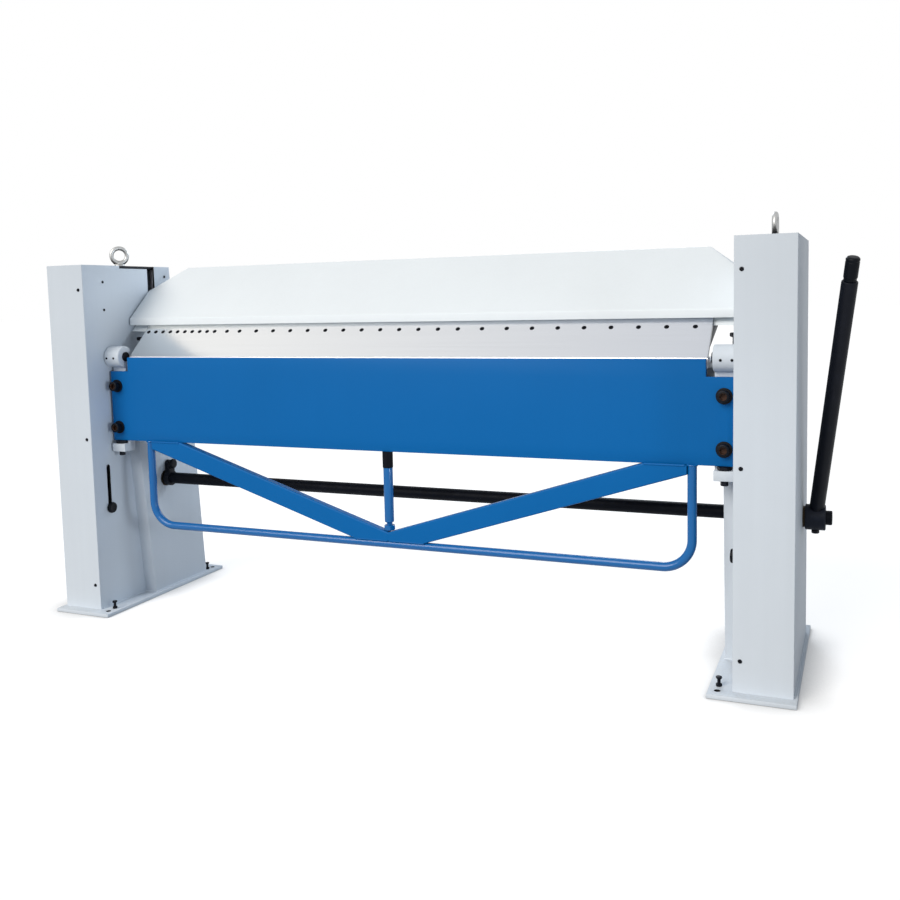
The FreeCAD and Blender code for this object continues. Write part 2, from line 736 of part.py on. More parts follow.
def crank():
    """Arm keyed to the shaft, with its pin in the pull rod's lower eye."""
    hub = cylinder((crank_in, shaft_back, shaft_height), (1, 0, 0), crank_hub_radius, crank_hub_length)
    end = cylinder((crank_in, crank_pin_y, crank_pin_z), (1, 0, 0), crank_end_radius, crank_thickness)
    lean = math.radians(crank_rest)
    dy, dz = math.sin(lean) * crank_end_radius, -math.cos(lean) * crank_end_radius
    outline = [(shaft_back + dy, shaft_height + dz), (crank_pin_y + dy, crank_pin_z + dz),
               (crank_pin_y - dy, crank_pin_z - dz), (shaft_back - dy, shaft_height - dz)]
    web = prism_x(outline, crank_in, crank_in + crank_thickness)
    start = rod_in - crank_pin_end
    pin = cylinder((start, crank_pin_y, crank_pin_z), (1, 0, 0), crank_pin_radius, crank_in - start)
    bore = cylinder((crank_in - 1, shaft_back, shaft_height), (1, 0, 0), shaft_radius, crank_hub_length + 2)
    return joined(hub, end, web, pin).cut(bore)


def stop_arm():
    """Short arm with a round head on the shaft, beside the left column's bush."""
    x1 = -step_x + bush_flange + stop_gap
    x2 = x1 + stop_arm_thickness
    hub = turned((x1, shaft_back, shaft_height), (1, 0, 0), stop_hub_radius, stop_arm_thickness, 1.5)
    half, high = stop_arm_width / 2, shaft_height + stop_arm_length
    arm = box(x1, x2, shaft_back - half, shaft_back + half, shaft_height, high)
    top = cylinder((x1, shaft_back, high), (1, 0, 0), half, stop_arm_thickness)
    head = turned((x2, shaft_back, high), (1, 0, 0), stop_knob_radius, stop_knob_length, 3)
    bore = cylinder((x1 - 1, shaft_back, shaft_height), (1, 0, 0), shaft_radius, stop_arm_thickness + 2)
    return joined(hub, arm, top).cut(bore), head


def clamp_shaft():
    """Shaft from just past the left crank's hub to just past the lever's hub."""
    start = -(crank_in + crank_hub_length + shaft_end_proud)
    end = outer_x + bush_flange + lever_hub_gap + lever_hub_length + lever_stub
    return turned((start, shaft_back, shaft_height), (1, 0, 0), shaft_radius, end - start, 2)


def lever():
    """Hub outside the right column, with a bar that leans forwards and outwards."""
    x0 = outer_x + bush_flange + lever_hub_gap
    centre = FreeCAD.Vector(x0 + lever_hub_length / 2, shaft_back, shaft_height)
    hub = turned((x0, shaft_back, shaft_height), (1, 0, 0), lever_hub_radius, lever_hub_length, 2)
    lean = FreeCAD.Vector(math.tan(math.radians(lever_outward)), -math.tan(math.radians(lever_forward)), 1)
    lean.normalize()
    seat = shaft_radius + lever_seat
    foot = centre + lean * seat
    bar_length = lever_length - lever_grip_length - seat
    bar = turned(foot, lean, lever_radius, bar_length, 2)
    grip = turned(foot + lean * bar_length, lean, lever_grip_radius, lever_grip_length, 4)
    bore = cylinder((x0 - 1, shaft_back, shaft_height), (1, 0, 0), shaft_radius, lever_hub_length + 2)
    hub = hub.cut(bore).cut(bar)
    screw_start = (centre.x, shaft_back, shaft_height - lever_hub_radius)
    screw = hex_head(screw_start, (0, 0, -1), lever_screw_flats, lever_screw_height)
    return hub, bar, grip, screw


def apron_plate():
    half = inner_x - apron_end_gap
    notch_x = half_length - apron_notch_end
    notch_z = apron_top - apron_notch_depth
    outline = [(-half, apron_bottom), (half, apron_bottom), (half, notch_z), (notch_x, notch_z),
               (notch_x, apron_top), (-notch_x, apron_top), (-notch_x, notch_z), (-half, notch_z)]
    plate = prism_y(outline, apron_front, axis_back)
    for side in (-1, 1):
        for x, z in apron_bolt_places():
            hole = cylinder((side * x, apron_front - 1, z), (0, 1, 0), apron_bolt / 2, apron_thickness + 2)
            plate = plate.cut(hole)
    return plate


def apron_bolt_places():
    return [(arm_centre, apron_top - drop) for drop in apron_bolt_drop]


def hinge_arm():
    """Arm behind the apron with the hinge hub on top and a foot under the apron's edge."""
    x0, x1 = arm_centre - arm_width / 2, arm_centre + arm_width / 2
    hub_x = half_length + hub_side_gap
    back = axis_back + arm_thickness
    arm = box(x0, x1, axis_back, back, foot_low, axis_height)
    hub = turned((hub_x, axis_back, axis_height), (1, 0, 0), hub_radius, hub_length, 2)
    foot = box(x0, x1, apron_front - arm_foot_front, back, foot_low, foot_top)
    arm = joined(arm, hub, foot)
    bore_start = (hub_x - 1, axis_back, axis_height)
    arm = arm.cut(cylinder(bore_start, (1, 0, 0), hinge_pin_radius + running_gap, hub_length + 2))
    screw_start = (arm_centre, apron_mid, foot_low - 1)
    arm = arm.cut(cylinder(screw_start, (0, 0, 1), adjusting_screw / 2, arm_foot_thickness + 2))
    corner = adjusting_screw * hex_flats / math.sqrt(3) + arm_recess_gap
    recess_start = (arm_centre, apron_mid, foot_top)
    arm = arm.cut(cylinder(recess_start, (0, 0, 1), corner, arm_foot_gap))
    for x, z in apron_bolt_places():
        arm = arm.cut(cylinder((x, axis_back - 1, z), (0, 1, 0), apron_bolt / 2, arm_thickness + 2))
    for hub_screw in hub_screws():
        arm = arm.cut(hub_screw)
    return arm


def hub_screws():
    """Grub screws in the front of the hinge hub."""
    y = axis_back - hub_radius - hub_screw_proud
    starts = [(half_length + hub_side_gap + x, y, axis_height - hub_screw_drop) for x in hub_screw_places]
    return [cylinder(start, (0, 1, 0), hub_screw_radius, hub_screw_length) for start in starts]


def apron_bolts():
    """Socket-head bolts with washers, through the apron into the arm."""
    bolts = []
    washer_y = apron_front - washer_thickness
    head_y = washer_y - apron_bolt_head
    shank_length = washer_thickness + apron_thickness + arm_thickness - apron_bolt_short
    for x, z in apron_bolt_places():
        washer = cylinder((x, washer_y, z), (0, 1, 0), washer_radius, washer_thickness)
        head = turned((x, head_y, z), (0, 1, 0), apron_bolt_head_radius, apron_bolt_head, 1.5)
        shank = cylinder((x, washer_y, z), (0, 1, 0), apron_bolt / 2, shank_length)
        socket = hexagon((x, head_y - 1, z), (0, 1, 0), apron_bolt_socket, apron_bolt_socket_depth + 1)
        bolts.append(joined(washer, head, shank).cut(socket))
    return bolts


def adjusting_screw_and_nut():
    """Screw up through the foot that sets the apron's height, with its nut."""
    x, y, low = arm_centre, apron_mid, foot_low - adjusting_neck
    shank = cylinder((x, y, low), (0, 0, 1), adjusting_screw / 2, apron_bottom - low)
    drive = hex_head((x, y, low - adjusting_drive), (0, 0, 1), adjusting_drive_flats, adjusting_drive)
    nut = hex_head((x, y, foot_top), (0, 0, 1), adjusting_screw * hex_flats, adjusting_nut_height)
    nut = nut.cut(shank)
    return joined(shank, drive), nut


def handle_tube():
    """U of round tube hanging from the apron's lower edge."""
    left, right = handle_centre - handle_half_span, handle_centre + handle_half_span
    low, bend, y = handle_bottom, handle_bend, apron_mid
    diagonal = bend * (1 - math.sqrt(0.5))
    points = {"top_l": (left, apron_bottom), "low_l": (left, low + bend),
              "arc_l": (left + diagonal, low + diagonal), "foot_l": (left + bend, low),
              "foot_r": (right - bend, low), "arc_r": (right - diagonal, low + diagonal),
              "low_r": (right, low + bend), "top_r": (right, apron_bottom)}
    at = {name: FreeCAD.Vector(x, y, z) for name, (x, z) in points.items()}
    edges = [Part.LineSegment(at["top_l"], at["low_l"]).toShape(),
             Part.Arc(at["low_l"], at["arc_l"], at["foot_l"]).toShape(),
             Part.LineSegment(at["foot_l"], at["foot_r"]).toShape(),
             Part.Arc(at["foot_r"], at["arc_r"], at["low_r"]).toShape(),
             Part.LineSegment(at["low_r"], at["top_r"]).toShape()]
    path = Part.Wire(edges)
    outer, inner = [path.makePipeShell([Part.Wire(Part.makeCircle(radius, at["top_l"]))], True, False)
                    for radius in (handle_tube_radius, handle_tube_radius - handle_wall)]
    return outer.cut(inner)


def brace_ends(side):
    """Centre line of a brace, from the apron's lower edge to the meeting point."""
    leg = handle_centre + side * handle_half_span
    return (leg - side * brace_top_inset, apron_bottom), (rod_centre, handle_bottom + brace_meet)


def bar_outline(start, end, width):
    """Corners of a straight bar of the given width about a line in the X-Z plane."""
    dx, dz = end[0] - start[0], end[1] - start[1]
    half = width / 2 / math.hypot(dx, dz)
    nx, nz = -dz * half, dx * half
    return [(start[0] + nx, start[1] + nz), (end[0] + nx, end[1] + nz),
            (end[0] - nx, end[1] - nz), (start[0] - nx, start[1] - nz)]


def brace(side):
    """Rectangular tube from the leg and the apron's lower edge to the handle's middle."""
    top, bottom = brace_ends(side)
    dx, dz = bottom[0] - top[0], bottom[1] - top[1]
    ends = (top[0] - dx, top[1] - dz), (bottom[0] + dx * 0.1, bottom[1] + dz * 0.1)
    y0, y1 = apron_mid - brace_depth / 2, apron_mid + brace_depth / 2
    bar = prism_y(bar_outline(*ends, brace_width), y0, y1)
    long_edges = [edge for edge in bar.Edges if edge.Length > math.hypot(dx, dz)]
    bar = bar.makeFillet(brace_corner, long_edges)
    inner = bar_outline(*ends, brace_width - 2 * brace_wall)
    bar = bar.cut(prism_y(inner, y0 + brace_wall, y1 - brace_wall))
    leg = handle_centre + side * (handle_half_span - handle_tube_radius)
    low, high = min(leg, rod_centre), max(leg, rod_centre)
    keep = box(low, high, y0 - 1, y1 + 1, handle_bottom + handle_tube_radius, apron_bottom)
    return bar.common(keep)


def rod_and_nuts():
    """Upright rod between the apron and the braces, with its socket and nut."""
    x, y, low = rod_centre, apron_mid, rod_foot()
    socket_low = apron_bottom - rod_socket_height
    socket = turned((x, y, socket_low), (0, 0, 1), rod_radius + rod_socket_wall, rod_socket_height)
    sleeve_low = low + rod_nut_height + rod_thread_show
    sleeve = turned((x, y, sleeve_low), (0, 0, 1), rod_radius, socket_low - sleeve_low)
    thread = cylinder((x, y, low), (0, 0, 1), rod_thread_radius, sleeve_low - low)
    nut = hex_head((x, y, low), (0, 0, 1), rod_nut_flats, rod_nut_height).cut(thread)
    return joined(sleeve, thread), socket, nut


def rod_foot():
    """Lowest place where the nut clears both braces, in the valley where they meet."""
    heights = []
    for side in (-1, 1):
        top, bottom = brace_ends(side)
        slope = abs((top[1] - bottom[1]) / (top[0] - bottom[0]))
        edge = brace_width / 2 * math.hypot(1, slope)
        heights.append(bottom[1] + edge + slope * rod_nut_flats / math.sqrt(3))
    return max(heights)


def knob():
    """Flat knob on a collar, with a blind bore for the stud."""
    start, axis = (inner_x - knob_gap, knob_back, knob_height), (-1, 0, 0)
    collar = cylinder(start, axis, knob_collar_radius, knob_collar)
    disc_start = (start[0] - knob_collar, knob_back, knob_height)
    disc = turned(disc_start, axis, knob_radius, knob_length - knob_collar, knob_edge)
    bore = cylinder(start, axis, knob_slot_width / 2 - knob_gap, stud_length - knob_gap)
    return joined(collar, disc).cut(bore)


def knob_slide():
    """Stud through the slot with the slide that runs behind the wall."""
    x, y, z = inner_x, knob_back, knob_height
    stud_radius = knob_slot_width / 2 - knob_gap
    stud = cylinder((x - stud_length, y, z), (1, 0, 0), stud_radius, stud_length + wall + slide_thickness)
    half_w, half_h = slide_width / 2, slide_height / 2
    back = x + wall
    plate = box(back + knob_gap, back + slide_thickness, y - half_w, y + half_w, z - half_h, z + half_h)
    return joined(stud, plate)


def write_columns():
    write_pair("base_plate", base_plate())
    write_pair("inner_wall", inner_wall())
    write_pair("step_box", step_box())
    write("outer_wall_right", outer_wall(True))
    write("outer_wall_left", mirrored(outer_wall(False)))
    write_pair("back_cover", back_cover())
    write_pair("front_cover", front_cover())
    write_pair("top_plate", top_plate())
    bolts, nuts = level_bolts()
    write_both("levelling_bolts", bolts)
    write_both("levelling_nuts", nuts)
    write_both("cover_screws", cover_screws())
    write_both("wall_screws", wall_screws())
    write_both("guide_gibs", gibs())
    write("eye_bolts", eye_bolt(0), mirrored(eye_bolt(90 - eye_turn_left)))
    inner = bush(step_x, -1)
    write("shaft_bushes", inner, mirrored(inner), bush(outer_x, 1))
    write_both("hinge_pins", [hinge_pin()])
    write_both("beam_stop_screws", [beam_stop()])


def write_bed():
    for name, piece in zip(("bed_strip", "bed_top", "bed_web", "bed_foot"), bed()):
        write(name, piece)


def write_upper_beam():
    blade, screws, holes = blade_and_screws()
    write("beam_shell", beam_shell())
    write("blade_seat", blade_seat().cut(holes))
    write("clamping_blade", blade)
    write("blade_screws", *screws)
    write_both("guide_tongues", [tongue()])
    write_both("drive_pins", [drive_pin()])
    write_pair("pull_rod", pull_rod())


def write_clamp_shaft():
    write("clamp_shaft", clamp_shaft())
    write_pair("lift_crank", crank())
    for name, piece in zip(("stop_arm", "stop_arm_knob"), stop_arm()):
        write(name, piece)
    for name, piece in zip(("lever_hub", "lever_bar", "lever_grip", "lever_screw"), lever()):
        write(name, piece)


def write_apron():
    write("apron_plate", apron_plate())
    write_pair("hinge_arm", hinge_arm())
    write_both("apron_bolts", apron_bolts())
    screw, nut = adjusting_screw_and_nut()
    write_both("adjusting_screws", [screw])
    write_both("adjusting_nuts", [nut])
    write("handle_tube", handle_tube())
    write("brace_right", brace(1))
    write("brace_left", brace(-1))
    rod, socket, nut = rod_and_nuts()
    write("centre_rod", rod)
    write("rod_end_nuts", socket, nut)
    write_both("hub_screws", hub_screws())


def write_knobs():
    write_pair("slide_knob", knob())
    write_pair("knob_slide", knob_slide())


os.makedirs("parts", exist_ok=True)
write_columns()
write_bed()
write_upper_beam()
write_clamp_shaft()
write_apron()
write_knobs()
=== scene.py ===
import json
import math
from collections import namedtuple

import bmesh
import bpy
from bpy.props import FloatProperty, FloatVectorProperty, IntProperty, PointerProperty
from mathutils import Matrix, Vector

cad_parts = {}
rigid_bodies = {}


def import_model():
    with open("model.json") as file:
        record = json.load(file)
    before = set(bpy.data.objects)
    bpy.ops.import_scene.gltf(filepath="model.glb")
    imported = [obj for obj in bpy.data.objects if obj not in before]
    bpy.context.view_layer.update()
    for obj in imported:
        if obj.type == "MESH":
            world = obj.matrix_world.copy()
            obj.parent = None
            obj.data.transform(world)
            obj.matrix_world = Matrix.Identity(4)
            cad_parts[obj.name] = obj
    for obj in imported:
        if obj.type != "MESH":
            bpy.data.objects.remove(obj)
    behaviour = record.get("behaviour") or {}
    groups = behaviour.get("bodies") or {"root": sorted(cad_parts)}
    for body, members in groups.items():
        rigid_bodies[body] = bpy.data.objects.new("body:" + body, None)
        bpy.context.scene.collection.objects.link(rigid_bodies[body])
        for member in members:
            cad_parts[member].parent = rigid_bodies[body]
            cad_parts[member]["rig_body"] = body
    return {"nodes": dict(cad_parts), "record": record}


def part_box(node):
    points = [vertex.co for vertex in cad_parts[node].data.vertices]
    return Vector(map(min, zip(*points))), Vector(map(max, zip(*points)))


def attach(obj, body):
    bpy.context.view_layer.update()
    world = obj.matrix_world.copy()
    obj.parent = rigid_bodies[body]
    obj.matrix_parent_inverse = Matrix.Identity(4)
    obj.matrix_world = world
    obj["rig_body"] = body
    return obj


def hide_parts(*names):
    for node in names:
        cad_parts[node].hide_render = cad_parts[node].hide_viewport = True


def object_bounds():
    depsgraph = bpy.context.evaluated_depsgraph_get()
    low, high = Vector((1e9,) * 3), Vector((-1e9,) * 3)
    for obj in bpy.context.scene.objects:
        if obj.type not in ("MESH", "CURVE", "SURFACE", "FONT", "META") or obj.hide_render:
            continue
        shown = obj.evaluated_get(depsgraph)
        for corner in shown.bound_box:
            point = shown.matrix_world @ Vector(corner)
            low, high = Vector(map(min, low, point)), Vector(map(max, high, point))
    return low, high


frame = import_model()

bl_info = {
    "name": "Sheet Folding Machine",
    "version": (1, 0, 0),
    "blender": (4, 5, 0),
    "location": "3D View > Sidebar > Folding Machine",
    "description": "Builds a hand-worked folding machine for sheet metal around its CAD frame",
    "category": "Add Mesh",
}

CAD_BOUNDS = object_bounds()
SIDES = ("left", "right")
UP, DOWN, BACKWARDS, FORWARDS, RIGHT, LEFT = (
    Vector(v) for v in ((0, 0, 1), (0, 0, -1), (0, 1, 0), (0, -1, 0), (1, 0, 0), (-1, 0, 0)))
FULL_TURN = 2 * math.pi
SHARP = math.radians(32)


# Settings

def colour(name, description, red, green, blue):
    return FloatVectorProperty(name=name, description=description, default=(red, green, blue, 1), size=4,
                               min=0, max=1, subtype="COLOR")


def length(name, description, default):
    return FloatProperty(name=name, description=description, default=default, min=0, unit="LENGTH",
                         precision=5)


def angle(name, description, default):
    return FloatProperty(name=name, description=description, default=math.radians(default), unit="ROTATION")


def amount(name, description, default, low=0.0, high=10.0):
    return FloatProperty(name=name, description=description, default=default, min=low, max=high)


class FinishSettings(bpy.types.PropertyGroup):
    """Colours of the paints and metals."""

    column: colour("Column paint", "Pale grey coat of the columns and the hinge arms", 0.630, 0.685, 0.745)
    beam: colour("Beam paint", "White paint of the upper beam", 0.797, 0.845, 0.875)
    apron: colour("Apron paint", "Blue paint of the apron and its handle", 0.0035, 0.125, 0.386)
    bed: colour("Bed paint", "Pale paint of the lower beam", 0.740, 0.780, 0.810)
    black: colour("Black steel", "Blackened shaft, lever and screws", 0.0040, 0.0053, 0.0096)
    ground: colour("Ground steel", "Bed strip and guides", 0.600, 0.600, 0.640)
    # The two blade colours paint a reflection along the blade: bright at its left end, duller at its right.
    blade_left: colour("Blade, left end", "Bright end of the clamping blade", 0.860, 0.860, 0.845)
    blade_right: colour("Blade, right end", "Duller end of the clamping blade", 0.590, 0.615, 0.665)
    # Near-black tone: on the marked walls of holes and slots and on sawn bar ends it is painted shade; it is
    # also the whole colour of the knob slides.
    scale: colour("Mill scale", "Sawn ends, holes, slots and oiled slides", 0.022, 0.021, 0.022)
    zinc: colour("Zinc plate", "Lifting eyes", 0.520, 0.530, 0.530)
    # The bronze is darkened nearly to black: painted shade, as the bushes sit in shadow between hub and
    # column.
    bronze: colour("Bronze", "Shaft bushes", 0.045, 0.034, 0.024)
    plastic: colour("Black plastic", "Knobs and lever grip", 0.0030, 0.0045, 0.0075)
    bare: colour("Bare metal", "Shows where paint is rubbed off an edge", 0.420, 0.410, 0.400)
    dust: colour("Dust", "Dry dust on faces that look up", 0.560, 0.540, 0.500)
    rust: colour("Socket brown", "Inside of the apron bolts' sockets", 0.050, 0.023, 0.014)


class DetailSettings(bpy.types.PropertyGroup):
    """Small sizes that the CAD leaves plain."""

    plate_edge: length("Plate edge", "Broken edge of thick plates", 0.0016)
    wall_edge: length("Wall edge", "Broken edge of the columns' plates and the lower beam", 0.00112)
    gear_edge: length("Gear edge", "Broken edge of the parts inside the columns", 0.00096)
    apron_edge: length("Apron edge", "Broken edge of the apron's plate", 0.00192)
    hub_edge: length("Lever hub edge", "Broken edge of the lever's hub", 0.002)
    sheet_edge: length("Sheet edge", "Broken edge of the covers and the blade", 0.0006)
    fold: length("Fold", "Outer radius of the covers' folds", 0.0026)
    bead: length("Weld bead", "Radius of the weld beads", 0.0032)
    turn_steps: IntProperty(name="Round steps", description="Faces around a turned piece", default=48, min=12)


class StageSettings(bpy.types.PropertyGroup):
    """Camera, lamps and floor."""

    camera_x: length("Camera X", "Camera to the right of the middle", 1.432)
    camera_front: length("Camera distance", "Camera in front of the origin", 2.991)
    camera_z: length("Camera height", "Camera above the floor", 1.105)
    yaw: angle("Yaw", "Camera turned to the left", 23.07)
    pitch: angle("Pitch", "Camera tipped down", 5.44)
    roll: angle("Roll", "Camera rolled", -1.35)
    lens: FloatProperty(name="Lens", description="Focal length", default=39.344, unit="CAMERA")
    shift: amount("Shift", "Vertical shift of the lens", -0.0652, -1, 1)
    key: amount("Key lamp", "Strength of the main lamp", 2.50)
    sky: amount("Sky", "Strength of the even light all round", 0.385)
    sky_tint: colour("Sky tint", "Colour of the even light", 0.804, 0.893, 1.0)
    key_tint: colour("Key tint", "Colour of the main lamp", 1.0, 0.945, 0.875)
    back: amount("Back lamp", "Watts of the soft lamp behind the machine", 48.0, 0, 500)
    side: amount("Side lamp", "Watts of the soft lamp in front, aimed at the left column", 1.5, 0, 500)
    floor: length("Floor", "Half the floor's width", 60.0)
    glow: amount("Floor glow", "Light that the open floor adds for the camera", 0.72)


# Shader nodes

def add(tree, kind, sockets=(), **settings):
    """One shader node. A socket's value is a number, a colour or another node's output."""
    node = tree.nodes.new(kind)
    for key, value in settings.items():
        setattr(node, key, value)
    for key, value in dict(sockets).items():
        if isinstance(value, bpy.types.NodeSocket):
            tree.links.new(value, node.inputs[key])
        else:
            node.inputs[key].default_value = value
    return node


def maths(tree, operation, first, second=0.0, third=0.0, clamp=False):
    node = add(tree, "ShaderNodeMath", {0: first, 1: second, 2: third}, operation=operation, use_clamp=clamp)
    return node.outputs[0]


def noise(tree, position, scale, detail=2.0, roughness=0.5):
    node = add(tree, "ShaderNodeTexNoise",
               {"Vector": position, "Scale": scale, "Detail": detail, "Roughness": roughness})
    return node.outputs["Fac"]


def stepped(tree, value, low, high):
    """Smooth step from 0 at low to 1 at high."""
    node = add(tree, "ShaderNodeMapRange", {"Value": value, "From Min": low, "From Max": high},
               interpolation_type="SMOOTHSTEP")
    return node.outputs["Result"]


def mixed(tree, factor, first, second):
    node = add(tree, "ShaderNodeMix", {0: factor, 6: first, 7: second}, data_type="RGBA")
    return node.outputs[2]


def times(tree, first, second):
    """Product of two vectors, part by part."""
    return add(tree, "ShaderNodeVectorMath", {0: first, 1: second}, operation="MULTIPLY").outputs[0]


def axis_value(tree, vector, axis):
    return add(tree, "ShaderNodeSeparateXYZ", {0: vector}).outputs[axis]


def position_of(tree):
    return tree.nodes.new("ShaderNodeTexCoord").outputs["Object"]


def marked_faces(tree, name):
    """Mask of the faces that the mesh code marked."""
    return add(tree, "ShaderNodeAttribute", attribute_name=name).outputs["Fac"]


def new_group(name, inputs, outputs):
    """Shader node group with named number sockets, and the surface's place in metres inside it."""
    tree = bpy.data.node_groups.new(name, "ShaderNodeTree")
    for direction, sockets in (("INPUT", inputs), ("OUTPUT", outputs)):
        for socket in sockets:
            tree.interface.new_socket(name=socket, in_out=direction, socket_type="NodeSocketFloat")
    given = tree.nodes.new("NodeGroupInput").outputs
    out = tree.nodes.new("NodeGroupOutput").inputs
    return tree, position_of(tree), given, out


def film_group():
    """Sprayed paint: orange peel, soft unevenness and fine upright streaks."""
    tree, at, given, out = new_group("paint film", ("Peel Size", "Streaks"), ("Height", "Shade"))
    peel = noise(tree, at, given["Peel Size"], 3.0, 0.55)
    fine = noise(tree, at, 2300.0, 1.0)
    tree.links.new(maths(tree, "MULTIPLY_ADD", fine, 0.18, peel), out["Height"])
    cloud = noise(tree, at, 2.6, 3.0, 0.55)
    streak = noise(tree, times(tree, at, (34.0, 34.0, 0.9)), 1.0, 3.0, 0.6)
    streak = maths(tree, "MULTIPLY", maths(tree, "SUBTRACT", streak, 0.5), given["Streaks"])
    tree.links.new(maths(tree, "ADD", cloud, streak, clamp=True), out["Shade"])
    return tree


def wear_group():
    """Rubbed edges: the faces marked as edges, broken up by noise."""
    tree, at, given, out = new_group("edge wear", ("Amount",), ("Mask",))
    patches = noise(tree, at, 21.0, 5.0, 0.65)
    level = maths(tree, "SUBTRACT", 0.86, maths(tree, "MULTIPLY", given["Amount"], 0.42))
    chips = stepped(tree, patches, level, maths(tree, "ADD", level, 0.07))
    tree.links.new(maths(tree, "MULTIPLY", marked_faces(tree, "edge"), chips), out["Mask"])
    return tree


def dust_group():
    """Dry dust on faces that look up, thicker near the floor."""
    tree, at, given, out = new_group("dust", ("Amount",), ("Mask",))
    facing = axis_value(tree, tree.nodes.new("ShaderNodeNewGeometry").outputs["Normal"], "Z")
    level = stepped(tree, facing, 0.35, 0.95)
    low = maths(tree, "SUBTRACT", 1.0, stepped(tree, axis_value(tree, at, "Z"), 0.0, 0.35))
    specks = stepped(tree, noise(tree, at, 150.0, 6.0, 0.7), 0.35, 0.75)
    reach = maths(tree, "MULTIPLY_ADD", low, 0.7, 0.3)
    mask = maths(tree, "MULTIPLY", maths(tree, "MULTIPLY", level, specks), reach)
    tree.links.new(maths(tree, "MULTIPLY", mask, given["Amount"], clamp=True), out["Mask"])
    return tree


def grind_group():
    """Ground steel: long lines along the machine with short cross scratches."""
    tree, at, given, out = new_group("grinding", ("Fineness",), ("Height", "Shade"))
    lines = noise(tree, times(tree, at, (1.6, 260.0, 260.0)), given["Fineness"], 4.0, 0.7)
    broad = noise(tree, times(tree, at, (0.7, 17.0, 17.0)), 1.0, 3.0, 0.6)
    marks = stepped(tree, noise(tree, times(tree, at, (60.0, 9.0, 9.0)), 3.0, 5.0, 0.7), 0.62, 0.72)
    tree.links.new(maths(tree, "MULTIPLY_ADD", marks, -0.35, lines), out["Height"])
    shade = maths(tree, "MULTIPLY_ADD", broad, 0.6, maths(tree, "MULTIPLY", lines, 0.4))
    tree.links.new(shade, out["Shade"])
    return tree


def hammer_group():
    """Blackened or cast surface: close pits and broad rubbed patches."""
    tree, at, given, out = new_group("blackened skin", ("Pit Size",), ("Height", "Rub"))
    pits = add(tree, "ShaderNodeTexVoronoi", {"Vector": at, "Scale": given["Pit Size"]}, feature="SMOOTH_F1")
    grit = noise(tree, at, 900.0, 2.0)
    tree.links.new(maths(tree, "MULTIPLY_ADD", grit, 0.35, pits.outputs["Distance"]), out["Height"])
    tree.links.new(stepped(tree, noise(tree, at, 34.0, 6.0, 0.7), 0.45, 0.8), out["Rub"])
    return tree


GROUP_MAKERS = {"paint film": film_group, "edge wear": wear_group, "dust": dust_group,
                "grinding": grind_group, "blackened skin": hammer_group}


def use_group(tree, name, **sockets):
    """Places a shared group, which is built the first time that it is asked for."""
    shared = bpy.data.node_groups.get(name) or GROUP_MAKERS[name]()
    values = {key.replace("_", " "): value for key, value in sockets.items()}
    return add(tree, "ShaderNodeGroup", node_tree=shared, sockets=values).outputs


# Materials

# Paint and skins: gleam is the specular level, depth how far the bumps stand out in metres.
# Skins: dark and rough hold where the skin is plain, light and smooth where it is rubbed.
Paint = namedtuple("Paint", "tone rough gleam peel depth streaks wear dust")
Ground = namedtuple("Ground", "left right rough darkest")
Skin = namedtuple("Skin", "tone dark light rough smooth gleam metal pit depth wear inside",
                  defaults=(0.0, None))

LOOKS = {
    "column_paint": Paint("column", 0.50, 0.12, 420.0, 0.00022, 0.5, 0.35, 0.35),
    "beam_paint": Paint("beam", 0.45, 0.20, 420.0, 0.00020, 0.2, 0.35, 0.20),
    "bed_paint": Paint("bed", 0.50, 0.20, 420.0, 0.00022, 0.3, 0.50, 0.30),
    "apron_paint": Paint("apron", 0.36, 0.09, 360.0, 0.00030, 0.3, 0.45, 0.10),
    "handle_paint": Paint("apron", 0.17, 0.32, 360.0, 0.00016, 0.3, 0.45, 0.10),
    "ground_steel": Ground("ground", "ground", 0.40, 0.86),
    # The blade's left-to-right blend is a painted reflection.
    "blade_steel": Ground("blade_left", "blade_right", 0.24, 0.92),
    "oiled_steel": Ground("scale", "scale", 0.36, 0.86),
    "black_steel": Skin("black", 1.0, 1.72, 0.49, 0.35, 0.14, 0.0, 300.0, 0.00012, 0.55),
    "oiled_black": Skin("black", 0.8, 1.184, 0.53, 0.39, 0.07, 0.0, 300.0, 0.00012, 0.55),
    # The lever hub's black is 2.2 times lighter than the bar's: painted light that lifts the hub out of its
    # shade.
    "hub_black": Skin("black", 2.2, 3.784, 0.49, 0.35, 0.14, 0.0, 300.0, 0.00012, 0.55),
    "socket_screw": Skin("black", 0.7, 1.6, 0.42, 0.30, 0.13, 0.0, 420.0, 0.00005, inside="rust"),
    "black_plastic": Skin("plastic", 1.0, 1.0, 0.43, 0.29, 0.10, 0.0, 600.0, 0.00003),
    "zinc_steel": Skin("zinc", 0.8, 1.15, 0.42, 0.27, 0.5, 1.0, 520.0, 0.00006),
    # Near-black bronze: painted shade on the bushes.
    "bronze": Skin("bronze", 0.8, 1.15, 0.54, 0.39, 0.5, 1.0, 520.0, 0.00006),
}
MATERIALS = {}


def tone(name, by=1.0):
    """A colour of the finish settings, made lighter or darker."""
    value = getattr(bpy.context.scene.folder_finish, name)
    return (*(min(1.0, part * by) for part in value[:3]), 1)


def connect(tree, shader, base, rough, height, distance):
    bump = add(tree, "ShaderNodeBump", {"Height": height, "Distance": distance})
    tree.links.new(bump.outputs["Normal"], shader.inputs["Normal"])
    tree.links.new(base, shader.inputs["Base Color"])
    tree.links.new(rough, shader.inputs["Roughness"])


